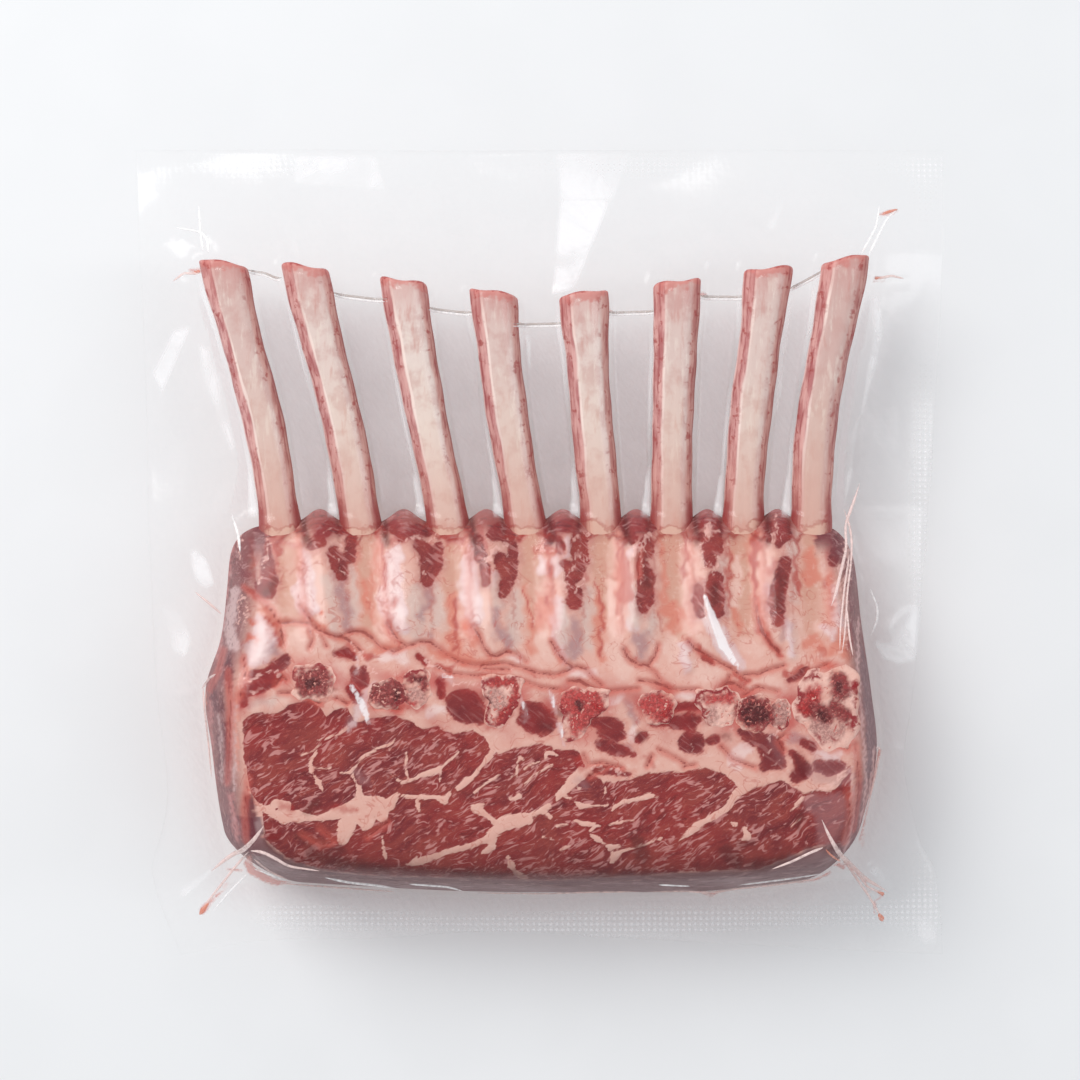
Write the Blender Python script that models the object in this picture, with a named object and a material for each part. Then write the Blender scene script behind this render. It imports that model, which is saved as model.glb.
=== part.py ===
"""Raw rack of lamb in its vacuum pouch, lying flat with the inner side of the ribs up.

The pouch is sealed around the meat and can't be told from it as a solid, so the pack is one closed
body: the two plies of film pressed together as a thin sheet, the block of meat in the middle, eight
trimmed rib bones that run out of it, and the film drawn over all of them. The body has an upper and a
lower skin. Both are heights over the same fan of columns, which follow the ribs.

Plain numbers are millimetres; the mesh is made in metres. +Y runs from the meat to the rib tips, +Z up,
and the origin is on the table under the middle of the pouch.
"""
import bmesh
import bpy
import numpy as np

MM = 0.001

# Pouch: its outline as (station, place) pairs, drawn in by the meat along each side.
POUCH_HALF_LENGTH = 124.5
POUCH_LEFT = [(-124.5, -111.0), (-106.0, -119.5), (-76.0, -115.0), (-45.0, -118.0), (5.0, -120.5),
              (75.0, -122.5), (124.5, -125.0)]
POUCH_RIGHT = [(-124.5, 125.0), (-106.0, 122.8), (-83.0, 116.0), (-66.0, 112.5), (-45.0, 115.0),
               (12.0, 120.0), (75.0, 124.0), (124.5, 125.0)]
POUCH_BOTTOM = [(-111.0, -124.5), (-90.0, -120.5), (-51.0, -119.3), (-13.0, -116.8), (22.0, -118.8),
                (64.0, -121.3), (125.0, -124.5)]
SHEET_THICKNESS = 1.0
SHEET_EDGE_HEIGHT = 9.0
SHEET_HOLD = 16.0
SHEET_REACH = 22.0
SEAL_WIDTH = 10.5
SEAL_STEP = 0.25
WAVE_HEIGHT = 2.2
WAVE_LENGTH = 92.0

# Block of meat: the foot of its side walls, how far each wall leans in, and its heights.
BLOCK_LEFT = [(-105.5, -92.0), (-85.0, -98.0), (-61.0, -101.6), (-41.0, -103.3), (-27.0, -98.8),
              (-11.0, -96.6), (14.0, -95.0)]
BLOCK_RIGHT = [(-105.5, 93.0), (-88.0, 98.6), (-60.0, 104.6), (-43.0, 102.8), (-22.0, 99.6),
               (0.0, 96.6), (14.0, 92.5)]
BLOCK_BOTTOM = [(-100.0, -100.5), (-70.0, -102.6), (-18.0, -105.2), (20.0, -105.4), (52.0, -105.0),
                (85.0, -101.2), (104.0, -99.0)]
BLOCK_TOP = 14.0
WALL_LEFT, WALL_RIGHT, WALL_BOTTOM, WALL_TOP = 19.0, 12.0, 14.0, 16.0
WALL_POWER = 3.4
CORNER_POWER = 1.7
LOIN_HEIGHT = 46.0
LOIN_CROWN = 2.2
LOIN_MIDDLE, LOIN_HALF = -72.0, 28.0
CHINE_LINE = -43.0
CHINE_RISE, CHINE_HALF = 1.9, 8.0
RIB_SIDE_DROP = 13.0
RIB_SIDE_START, RIB_SIDE_END = -37.0, 14.0
LUMP_HEIGHT = 3.6
LUMP_HALF_WIDTH = 6.5
LUMP_MIDDLE, LUMP_HALF_LENGTH = -9.0, 20.0
UNDER_INSET = 4.0
UNDER_RISE = 15.0
UNDER_START, UNDER_END = -22.0, 13.0

# Ribs: tip (x, y), then x midway out, where the bone meets the meat, and inside the meat.
RIBS = [
    (-95.6, 89.2, -81.0, -78.4, -76.6),
    (-72.0, 88.0, -58.6, -54.5, -52.3),
    (-41.9, 83.7, -32.7, -27.5, -26.9),
    (-14.3, 80.3, -8.4, -3.8, -2.0),
    (13.4, 80.0, 16.7, 19.2, 18.9),
    (42.2, 83.4, 40.6, 40.4, 40.7),
    (70.1, 87.3, 63.6, 62.2, 62.5),
    (93.8, 90.4, 84.9, 84.0, 83.0),
]
RIB_MIDWAY, RIB_ROOT, RIB_INSIDE = 32.0, 7.0, -15.0
RIB_HALF_TIP, RIB_HALF_SHAFT = 7.4, 6.2
RIB_HALF_HEIGHT = 5.2
RIB_ROOT_HEIGHT, RIB_TIP_HEIGHT = 25.0, 29.0
RIB_END_ROUND = 4.0
RIB_POWER = 2.5
FILM_STAND_OFF = 1.6

# How softly the film bridges from one part to the next.
FILM_FILLET = 2.4

# Columns between the guide lines across the pack, and rows between the stations along it.
MARGIN_COLUMNS, WALL_COLUMNS, GAP_COLUMNS = 2, 3, 3
RIB_STEPS = (-1.0, -0.68, 0.0, 0.68, 1.0)
SHOULDER_LINE, LOIN_EDGE, LUMP_LINE, SHAFT_LINE = -90.0, -54.0, -24.0, 40.0
STATION_ROWS = (3, 5, 4, 4, 7, 4, 3, 3, 4)


def along(points, at):
    """A smooth line through a few (station, value) points, read at the stations in `at`."""
    stations = np.array([p[0] for p in points])
    values = np.array([p[1] for p in points])
    slopes = np.gradient(values, stations)
    at = np.clip(at, stations[0], stations[-1])
    i = np.clip(np.searchsorted(stations, at) - 1, 0, len(stations) - 2)
    span = stations[i + 1] - stations[i]
    t = (at - stations[i]) / span
    return ((2 * t**3 - 3 * t**2 + 1) * values[i] + (t**3 - 2 * t**2 + t) * span * slopes[i]
            + (3 * t**2 - 2 * t**3) * values[i + 1] + (t**3 - t**2) * span * slopes[i + 1])


def smooth_step(low, high, x):
    t = np.clip((x - low) / (high - low), 0, 1)
    return t * t * (3 - 2 * t)


def soft_max(a, b, fillet):
    """The larger of two heights, with a fillet where they meet."""
    blend = np.maximum(fillet - np.abs(a - b), 0) / fillet
    return np.maximum(a, b) + blend**2 * fillet / 4


def rib_line(rib, y):
    """X of a rib's middle at y. Past the tip it carries on in the same direction."""
    tip_x, tip_y, midway_x, root_x, inside_x = rib
    lean = (tip_x - midway_x) / (tip_y - RIB_MIDWAY)
    points = [(-POUCH_HALF_LENGTH, inside_x), (RIB_INSIDE, inside_x), (RIB_ROOT, root_x),
              (RIB_MIDWAY, midway_x), (tip_y, tip_x)]
    return along(points, y) + lean * 0.5 * np.maximum(y - tip_y, 0)


def rib_half(rib, y):
    """Half of the width the film covers at a rib: the shaft widens towards the cut tip."""
    widening = (RIB_HALF_TIP - RIB_HALF_SHAFT) * smooth_step(RIB_MIDWAY, rib[1], y)
    return RIB_HALF_SHAFT + FILM_STAND_OFF + widening


def tip_line(x):
    """Y of a line drawn smoothly through the eight rib tips."""
    return along([(rib[0], rib[1]) for rib in RIBS], x)


def rack_distance(x, y):
    """How far a point lies outside the meat and bones, seen from above."""
    left = np.where(y < BLOCK_TOP, along(BLOCK_LEFT, y), rib_line(RIBS[0], y) - 9.0)
    right = np.where(y < BLOCK_TOP, along(BLOCK_RIGHT, y), rib_line(RIBS[-1], y) + 9.0)
    side = np.maximum(np.maximum(left - x, x - right), 0)
    end = np.maximum(np.maximum(along(BLOCK_BOTTOM, x) - y, y - tip_line(x)), 0)
    return np.hypot(side, end)


def sheet_height(x, y):
    """The two plies pressed together: held up by the rack, falling away in waves to the edges."""
    held = np.exp(-((rack_distance(x, y) / SHEET_REACH) ** 2))
    across, lengthwise = x + 0.4 * y, y - 0.3 * x
    waves = np.sin(2 * np.pi * across / WAVE_LENGTH) * np.cos(2 * np.pi * lengthwise / WAVE_LENGTH)
    hold = SHEET_HOLD * (0.45 + 0.55 * smooth_step(-70.0, 20.0, y))
    return SHEET_EDGE_HEIGHT + hold * held + WAVE_HEIGHT * waves * (1 - held)


def seal_depth(x, y):
    """1 on the welded bands along the bottom and top edges, where the sheet is pressed thinner."""
    from_edge = np.minimum(y - along(POUCH_BOTTOM, x), POUCH_HALF_LENGTH - y)
    return 1 - smooth_step(SEAL_WIDTH - 1, SEAL_WIDTH, from_edge)


def block_cover(x, y, inset):
    """0 outside the block's foot and 1 on its face, with rounded shoulders and corners."""
    left = 1 - (x - along(BLOCK_LEFT, y) - inset) / WALL_LEFT
    right = 1 - (along(BLOCK_RIGHT, y) - inset - x) / WALL_RIGHT
    bottom = 1 - (y - along(BLOCK_BOTTOM, x) - inset) / WALL_BOTTOM
    top = 1 - (BLOCK_TOP - inset - y) / WALL_TOP
    sideways = np.maximum(np.maximum(left, right), 0)
    lengthwise = np.maximum(np.maximum(bottom, top), 0)
    outward = (sideways**CORNER_POWER + lengthwise**CORNER_POWER) ** (1 / CORNER_POWER)
    return 1 - np.clip(outward, 0, 1) ** WALL_POWER


def block_upper(x, y):
    """The upper face: the loin's crown, the chine's low ridge and the rib side, falling to the tips."""
    crown = np.clip((y - LOIN_MIDDLE) / LOIN_HALF, -1, 1) ** 2
    face = LOIN_HEIGHT + LOIN_CROWN * (1 - crown)
    face = face + CHINE_RISE * np.exp(-(((y - CHINE_LINE) / CHINE_HALF) ** 2))
    face = face - RIB_SIDE_DROP * smooth_step(RIB_SIDE_START, RIB_SIDE_END, y)
    lengthwise = np.exp(-(((y - LUMP_MIDDLE) / LUMP_HALF_LENGTH) ** 4))
    for near, far in zip(RIBS, RIBS[1:]):
        middle = (rib_line(near, y) + rib_line(far, y)) / 2
        face = face + LUMP_HEIGHT * lengthwise * np.exp(-(((x - middle) / LUMP_HALF_WIDTH) ** 2))
    return face


def rib_mound(rib, x, y):
    """0 beside a rib and 1 along its middle: rounded across, and rounded off past its cut tip."""
    across = np.clip((x - rib_line(rib, y)) / rib_half(rib, y), -1, 1)
    past_tip = np.clip((y - rib[1] + RIB_END_ROUND) / (RIB_END_ROUND + FILM_STAND_OFF), 0, 1)
    inside = (1 - np.abs(across) ** RIB_POWER) * (1 - past_tip**RIB_POWER)
    return np.where(y > RIB_INSIDE, inside, 0.0)


def rib_height(rib, y):
    """Height of a rib's middle line."""
    return np.interp(y, [RIB_ROOT, rib[1]], [RIB_ROOT_HEIGHT, RIB_TIP_HEIGHT])


def upper_skin(x, y):
    sheet = sheet_height(x, y)
    face = sheet + SHEET_THICKNESS / 2 - SEAL_STEP * seal_depth(x, y)
    top = face
    for rib in RIBS:
        crest = rib_height(rib, y) + RIB_HALF_HEIGHT
        top = np.maximum(top, face + (crest - face) * rib_mound(rib, x, y))
    block = face + (block_upper(x, y) - face) * block_cover(x, y, 0.0)
    return np.where(block > face, soft_max(top, block, FILM_FILLET), top)


def lower_skin(x, y):
    sheet = sheet_height(x, y)
    face = sheet - SHEET_THICKNESS / 2 + SEAL_STEP * seal_depth(x, y)
    bottom = face
    for rib in RIBS:
        belly = rib_height(rib, y) - RIB_HALF_HEIGHT
        bottom = np.minimum(bottom, face + (belly - face) * rib_mound(rib, x, y))
    under = UNDER_RISE * smooth_step(UNDER_START, UNDER_END, y)
    return np.minimum(bottom, face + (under - face) * block_cover(x, y, UNDER_INSET))


def guide_lines(y):
    """X of each guide line at y, from the pouch's left edge to its right edge."""
    left, right = along(POUCH_LEFT, y), along(POUCH_RIGHT, y)
    first = rib_line(RIBS[0], y) - rib_half(RIBS[0], y)
    last = rib_line(RIBS[-1], y) + rib_half(RIBS[-1], y)
    out = smooth_step(BLOCK_TOP - 4, SHAFT_LINE, y)
    foot_left = along(BLOCK_LEFT, y) * (1 - out) + (left + 0.4 * (first - left)) * out
    foot_right = along(BLOCK_RIGHT, y) * (1 - out) + (right + 0.4 * (last - right)) * out
    lines = [left, foot_left]
    for rib in RIBS:
        lines += [rib_line(rib, y) + step * rib_half(rib, y) for step in RIB_STEPS]
    return lines + [foot_right, right]


def column_counts():
    per_rib = [1] * (len(RIB_STEPS) - 1)
    across_ribs = [*per_rib, GAP_COLUMNS] * (len(RIBS) - 1) + per_rib
    return [MARGIN_COLUMNS, WALL_COLUMNS, *across_ribs, WALL_COLUMNS, MARGIN_COLUMNS]


def fan_grid():
    """Plan positions of the grid's rows and columns, as two arrays x and y."""
    steps = np.array([0, *np.cumsum(STATION_ROWS)])
    straight = [SHOULDER_LINE, LOIN_EDGE, LUMP_LINE, BLOCK_TOP, SHAFT_LINE]
    plain = [-POUCH_HALF_LENGTH, -105.5, *straight, 80.0, 91.0, POUCH_HALF_LENGTH]
    grid_x, grid_y = [], []
    for row in range(steps[-1] + 1):
        lines, row_x = guide_lines(np.interp(row, steps, plain)), []
        for start, end, columns in zip(lines, lines[1:], column_counts()):
            row_x += list(np.linspace(start, end, columns, endpoint=False))
        row_x = np.array([*row_x, lines[-1]])
        tips = tip_line(row_x)
        curves = [along(POUCH_BOTTOM, row_x), along(BLOCK_BOTTOM, row_x)]
        curves += [np.full_like(row_x, line) for line in straight]
        curves += [tips - RIB_END_ROUND, tips + FILM_STAND_OFF, np.full_like(row_x, POUCH_HALF_LENGTH)]
        share = [float(np.interp(row, steps, np.arange(len(steps)) == i)) for i in range(len(steps))]
        grid_x.append(row_x)
        grid_y.append(sum(part * curve for part, curve in zip(share, curves)))
    return np.array(grid_x), np.array(grid_y)


def pack_mesh():
    """A flat grid, extruded once, with each of its two sides then laid on its own skin."""
    grid_x, grid_y = fan_grid()
    row_count, column_count = grid_x.shape
    body = bmesh.new()
    bmesh.ops.create_grid(body, x_segments=column_count - 1, y_segments=row_count - 1, size=0.5)
    lower = sorted(body.verts, key=lambda v: (round(v.co.y, 6), round(v.co.x, 6)))
    for vertex, x, y in zip(lower, grid_x.ravel(), grid_y.ravel()):
        vertex.co = (x, y, 0.0)
    grown = bmesh.ops.extrude_face_region(body, geom=body.faces[:])["geom"]
    upper = [v for v in grown if isinstance(v, bmesh.types.BMVert)]
    for vertices, skin in ((lower, lower_skin), (upper, upper_skin)):
        x = np.array([v.co.x for v in vertices])
        y = np.array([v.co.y for v in vertices])
        for vertex, height in zip(vertices, skin(x, y)):
            vertex.co.z = height
    bmesh.ops.scale(body, vec=(MM, MM, MM), verts=body.verts[:])
    bmesh.ops.recalc_face_normals(body, faces=body.faces[:])
    bmesh.ops.triangulate(body, faces=body.faces[:])
    mesh = bpy.data.meshes.new("sealed_pack")
    body.to_mesh(mesh)
    body.free()
    return mesh


def pack_material():
    material = bpy.data.materials.new("meat_under_film")
    material.use_nodes = True
    shader = material.node_tree.nodes["Principled BSDF"]
    shader.inputs["Base Color"].default_value = (0.42, 0.12, 0.11, 1.0)
    shader.inputs["Roughness"].default_value = 0.25
    shader.inputs["Metallic"].default_value = 0.0
    return material


def main():
    for old in list(bpy.data.objects):
        bpy.data.objects.remove(old)
    pack = bpy.data.objects.new("sealed_pack", pack_mesh())
    pack.data.materials.append(pack_material())
    pack.data.shade_smooth()
    pack.data.set_sharp_from_angle(angle=np.radians(50))
    bpy.context.scene.collection.objects.link(pack)


main()
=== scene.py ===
# %% [markdown]
# A raw rack of lamb, sealed flat in a clear vacuum pouch, with the inner side of the ribs up. The packed
# model is one closed solid, because the film can't be told from the meat as a shape. This lesson takes
# that solid's own named sizes and builds what the solid stands for: the meat with its fat and cut bone,
# eight trimmed ribs, and the film drawn over all of them.

import math

import bpy
import numpy as np
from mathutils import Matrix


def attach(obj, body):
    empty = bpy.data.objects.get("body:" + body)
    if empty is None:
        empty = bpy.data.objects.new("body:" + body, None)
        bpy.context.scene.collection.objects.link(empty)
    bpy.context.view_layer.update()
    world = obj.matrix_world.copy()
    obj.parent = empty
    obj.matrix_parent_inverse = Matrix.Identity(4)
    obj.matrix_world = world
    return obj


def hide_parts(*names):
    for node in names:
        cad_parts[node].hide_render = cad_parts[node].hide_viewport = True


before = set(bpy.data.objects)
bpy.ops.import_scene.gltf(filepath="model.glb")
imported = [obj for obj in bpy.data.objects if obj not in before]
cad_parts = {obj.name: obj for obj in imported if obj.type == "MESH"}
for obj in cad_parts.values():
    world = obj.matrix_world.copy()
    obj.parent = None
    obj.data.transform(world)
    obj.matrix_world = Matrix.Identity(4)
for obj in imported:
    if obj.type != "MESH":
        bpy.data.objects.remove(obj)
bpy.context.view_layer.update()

# %% [markdown]
# Sizes come first. They are in millimetres, as a butcher's ruler would give them: +X along the rack, +Y
# from the meat to the rib tips, +Z up. The outline of the pouch, the foot of the meat's walls and the
# eight ribs are short lists of measured places, and smooth lines are drawn through them.

# %% Sizes of the pouch, the meat and the ribs
MM = 0.001
POUCH_HALF = 124.5
POUCH_LEFT = [(-124.5, -111.0), (-106.0, -119.5), (-76.0, -115.0), (-45.0, -118.0), (5.0, -120.5),
              (75.0, -122.5), (124.5, -125.0)]
POUCH_RIGHT = [(-124.5, 125.0), (-106.0, 122.8), (-83.0, 116.0), (-66.0, 112.5), (-45.0, 115.0),
               (12.0, 120.0), (75.0, 124.0), (124.5, 125.0)]
POUCH_BOTTOM = [(-111.0, -124.5), (-90.0, -120.5), (-51.0, -119.3), (-13.0, -116.8), (22.0, -118.8),
                (64.0, -121.3), (125.0, -124.5)]
BLOCK_LEFT = [(-105.5, -92.0), (-85.0, -98.0), (-61.0, -101.6), (-41.0, -103.3), (-27.0, -98.8),
              (-11.0, -96.6), (14.0, -95.0)]
BLOCK_RIGHT = [(-105.5, 93.0), (-88.0, 98.6), (-60.0, 104.6), (-43.0, 102.8), (-22.0, 99.6),
               (0.0, 96.6), (14.0, 92.5)]
BLOCK_BOTTOM = [(-100.0, -100.5), (-70.0, -102.6), (-18.0, -105.2), (20.0, -105.4), (52.0, -105.0),
                (85.0, -101.2), (104.0, -99.0)]
BLOCK_TOP = 14.0
LOIN_HEIGHT, LOIN_CROWN, LOIN_MIDDLE, LOIN_HALF = 46.0, 2.2, -72.0, 28.0
CHINE_RIDGE, CHINE_LINE, RIB_SIDE_FALL, LUMP_RISE = 1.9, -43.0, 13.0, 3.6
WALL_LEFT, WALL_RIGHT, WALL_BOTTOM, WALL_TOP = 19.0, 12.0, 14.0, 16.0
WALL_POWER, CORNER_POWER, SHOULDER_POWER = 3.4, 1.7, 3.2
SHEET_EDGE_HEIGHT, SHEET_HOLD, SHEET_REACH = 9.0, 16.0, 22.0
WAVE_HEIGHT, WAVE_LENGTH = 2.2, 92.0
# Each rib: tip (x, y), then x midway out, where the bone meets the meat, and inside the meat.
RIBS = [
    (-97.0, 89.2, -82.8, -79.2, -77.0),
    (-72.0, 88.0, -58.6, -54.5, -52.3),
    (-41.9, 83.7, -32.7, -27.5, -26.9),
    (-14.3, 80.3, -8.4, -3.8, -2.0),
    (13.4, 80.0, 16.7, 19.2, 18.9),
    (42.2, 83.4, 40.6, 40.4, 40.7),
    (70.1, 87.3, 63.6, 62.2, 62.5),
    (93.8, 90.4, 83.9, 83.2, 82.6),
]
RIB_MIDWAY, RIB_ROOT, RIB_INSIDE = 32.0, 7.0, -15.0
RIB_HALF_TIP, RIB_HALF_SHAFT, RIB_HALF_HEIGHT = 7.4, 6.2, 5.2
RIB_ROOT_HEIGHT, RIB_TIP_HEIGHT = 25.0, 29.0
RIB_END_ROUND, FILM_STAND_OFF, RIB_POWER = 4.0, 1.6, 2.5
FILM_FILLET = 2.4


def along(points, at):
    """A smooth line through a few (station, value) points, read at the stations in `at`."""
    stations = np.array([p[0] for p in points])
    values = np.array([p[1] for p in points])
    slopes = np.gradient(values, stations)
    at = np.clip(at, stations[0], stations[-1])
    i = np.clip(np.searchsorted(stations, at) - 1, 0, len(stations) - 2)
    span = stations[i + 1] - stations[i]
    t = (at - stations[i]) / span
    return ((2 * t**3 - 3 * t**2 + 1) * values[i] + (t**3 - 2 * t**2 + t) * span * slopes[i]
            + (3 * t**2 - 2 * t**3) * values[i + 1] + (t**3 - t**2) * span * slopes[i + 1])


def smooth_step(low, high, x):
    t = np.clip((x - low) / (high - low), 0, 1)
    return t * t * (3 - 2 * t)


def soft_max(a, b, fillet):
    blend = np.maximum(fillet - np.abs(a - b), 0) / fillet
    return np.maximum(a, b) + blend**2 * fillet / 4


def hump(distance, half_width):
    """1 on a line and falling smoothly to nothing at about twice the half width."""
    return np.exp(-((distance / half_width) ** 2))


# %% [markdown]
# The same few rules that shaped the solid now give the heights here, so the film and the meat sit where
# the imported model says. A rib is a line in plan with a rounded mound along it, the block is a rounded
# cover over its own outline, and the free film is a sheet that the rack holds up and that falls away to
# its edges.

# %% The rules of the shape
def rib_line(rib, y):
    tip_x, tip_y, midway_x, root_x, inside_x = rib
    lean = (tip_x - midway_x) / (tip_y - RIB_MIDWAY)
    points = [(-POUCH_HALF, inside_x), (RIB_INSIDE, inside_x), (RIB_ROOT, root_x), (RIB_MIDWAY, midway_x),
              (tip_y, tip_x), (tip_y + 40, tip_x + 20 * lean)]
    return sum(along(points, y + step) for step in (-10, -5, 0, 5, 10)) / 5


def bone_half(rib, y):
    """A bone's half width: it widens slowly, and flares over its last 20 mm."""
    widening = 0.3 * smooth_step(12.0, 62.0, y) + 0.75 * smooth_step(rib[1] - 24.0, rib[1] - 3.0, y)
    return RIB_HALF_SHAFT + (RIB_HALF_TIP - RIB_HALF_SHAFT) * widening


def rib_height(rib, y):
    return np.interp(y, [RIB_ROOT, rib[1]], [RIB_ROOT_HEIGHT, RIB_TIP_HEIGHT])


def tip_line(x):
    return along([(rib[0], rib[1]) for rib in RIBS], x)


def rack_distance(x, y):
    """How far a point lies outside the meat and bones, seen from above."""
    bare = smooth_step(BLOCK_TOP - 6, BLOCK_TOP + 16, y)
    left = along(BLOCK_LEFT, y) * (1 - bare) + (rib_line(RIBS[0], y) - 9.0) * bare
    right = along(BLOCK_RIGHT, y) * (1 - bare) + (rib_line(RIBS[-1], y) + 9.0) * bare
    side = np.maximum(np.maximum(left - x, x - right), 0)
    end = np.maximum(np.maximum(along(BLOCK_BOTTOM, x) - y, y - tip_line(x)), 0)
    return np.hypot(side, end)


def sheet_height(x, y):
    held = np.exp(-((rack_distance(x, y) / SHEET_REACH) ** 2))
    across, lengthwise = x + 0.4 * y, y - 0.3 * x
    waves = np.sin(2 * np.pi * across / WAVE_LENGTH) * np.cos(2 * np.pi * lengthwise / WAVE_LENGTH)
    hold = SHEET_HOLD * (0.45 + 0.55 * smooth_step(-70.0, 20.0, y))
    return SHEET_EDGE_HEIGHT + hold * held + WAVE_HEIGHT * waves * (1 - held)


def block_outward(x, y, inset=0.0):
    """0 on the block's face, 1 at the foot of its walls."""
    left = 1 - (x - along(BLOCK_LEFT, y) - inset) / WALL_LEFT
    right = 1 - (along(BLOCK_RIGHT, y) - inset - x) / WALL_RIGHT
    bottom = 1 - (y - along(BLOCK_BOTTOM, x) - inset) / WALL_BOTTOM
    top = 1 - (BLOCK_TOP - inset - y) / WALL_TOP
    sideways = np.maximum(np.maximum(left, right), 0)
    lengthwise = np.maximum(np.maximum(bottom, top), 0)
    power = np.where(y > -40.0, SHOULDER_POWER, CORNER_POWER)
    return np.clip((sideways**power + lengthwise**power) ** (1 / power), 0, 1)


def between_ribs(x, y, half_width):
    """1 along the middle of each gap between two ribs."""
    total = np.zeros_like(x)
    for near, far in zip(RIBS, RIBS[1:]):
        total += hump(x - (rib_line(near, y) + rib_line(far, y)) / 2, half_width)
    return total


def block_upper(x, y):
    """The loin's crown, the chine's low ridge and the rib side, which falls towards the tips."""
    face = LOIN_HEIGHT + LOIN_CROWN * (1 - np.clip((y - LOIN_MIDDLE) / LOIN_HALF, -1, 1) ** 2)
    face = face + CHINE_RIDGE * hump(y - CHINE_LINE, 8.0)
    face = face - RIB_SIDE_FALL * smooth_step(-37.0, BLOCK_TOP, y)
    return face + LUMP_RISE * between_ribs(x, y, 6.5) * np.exp(-(((y + 9.0) / 20.0) ** 4))


print("rack:", round(along(BLOCK_RIGHT, -60.0) - along(BLOCK_LEFT, -41.0)), "mm wide,", len(RIBS), "ribs")

# %% [markdown]
# Raw meat isn't one colour with a pattern on it. Lean, fat, silverskin, blood and bone each have their own
# place, and a butcher could draw their borders. So they are drawn here, as strokes: a line of (x, y, half
# width) points in millimetres. How deep a point of the surface lies inside the nearest stroke is kept on
# the mesh, and the material later turns that depth into a crisp border with its own fine raggedness.

# %% Strokes and how to read them
STROKE_REACH = 9
FAR_OUTSIDE = -30.0


def stroke_depth(x, y, strokes):
    """How far inside the nearest stroke each point lies, in mm; negative outside."""
    depth = np.full(x.shape, FAR_OUTSIDE)
    for stroke in strokes:
        for (ax, ay, ar), (bx, by, br) in zip(stroke, stroke[1:]):
            near = np.abs(x - (ax + bx) / 2) < abs(bx - ax) / 2 + STROKE_REACH
            near = near & (np.abs(y - (ay + by) / 2) < abs(by - ay) / 2 + STROKE_REACH)
            px, py = x[near] - ax, y[near] - ay
            length = max((bx - ax) ** 2 + (by - ay) ** 2, 1e-6)
            t = np.clip((px * (bx - ax) + py * (by - ay)) / length, 0, 1)
            found = ar + (br - ar) * t - np.hypot(px - t * (bx - ax), py - t * (by - ay))
            depth[near] = np.maximum(depth[near], found)
    return depth


# %% [markdown]
# The loin's cut face: one large lean area with an uneven upper border against the fat of the backbone, a
# rounded left end and a straight lower edge, crossed by seams of fat between the muscles.

# %% Where the loin's lean lies
LOIN_UPPER_BORDER = [
    (-90, -51), (-86, -48.5), (-79, -48.3), (-76, -46), (-70, -44.6), (-66.5, -46.5), (-64.5, -50),
    (-62, -47.3), (-58, -46.8), (-55.5, -51.5), (-50, -49.8), (-44, -49.4), (-38, -51.5), (-35.5, -53.5),
    (-31, -52.6), (-26, -55), (-20, -53.7), (-16.5, -56), (-14.8, -59.5), (-12.5, -60.8), (-7, -59.2),
    (1, -57.6), (6, -59.5), (12, -60.3), (14.5, -66.5), (20, -69.3), (27, -68.6), (33, -66.4), (43, -66.4),
    (50, -64.9), (56, -67), (60, -71), (66, -70.8), (73, -68.7), (79.5, -72.8), (83.5, -71.8), (88, -72),
    (92, -67.5), (95, -61),
]
LOIN_LOWER_BORDER = [
    (-90, -60), (-87.5, -72), (-84, -77.5), (-83.5, -86), (-76, -92.8), (-66, -96.2), (-52, -98),
    (-20, -98.8), (5, -99.6), (22, -98.4), (45, -96.8), (66, -96), (73, -93.2), (84, -88.3), (92, -88),
    (95, -75),
]
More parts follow.
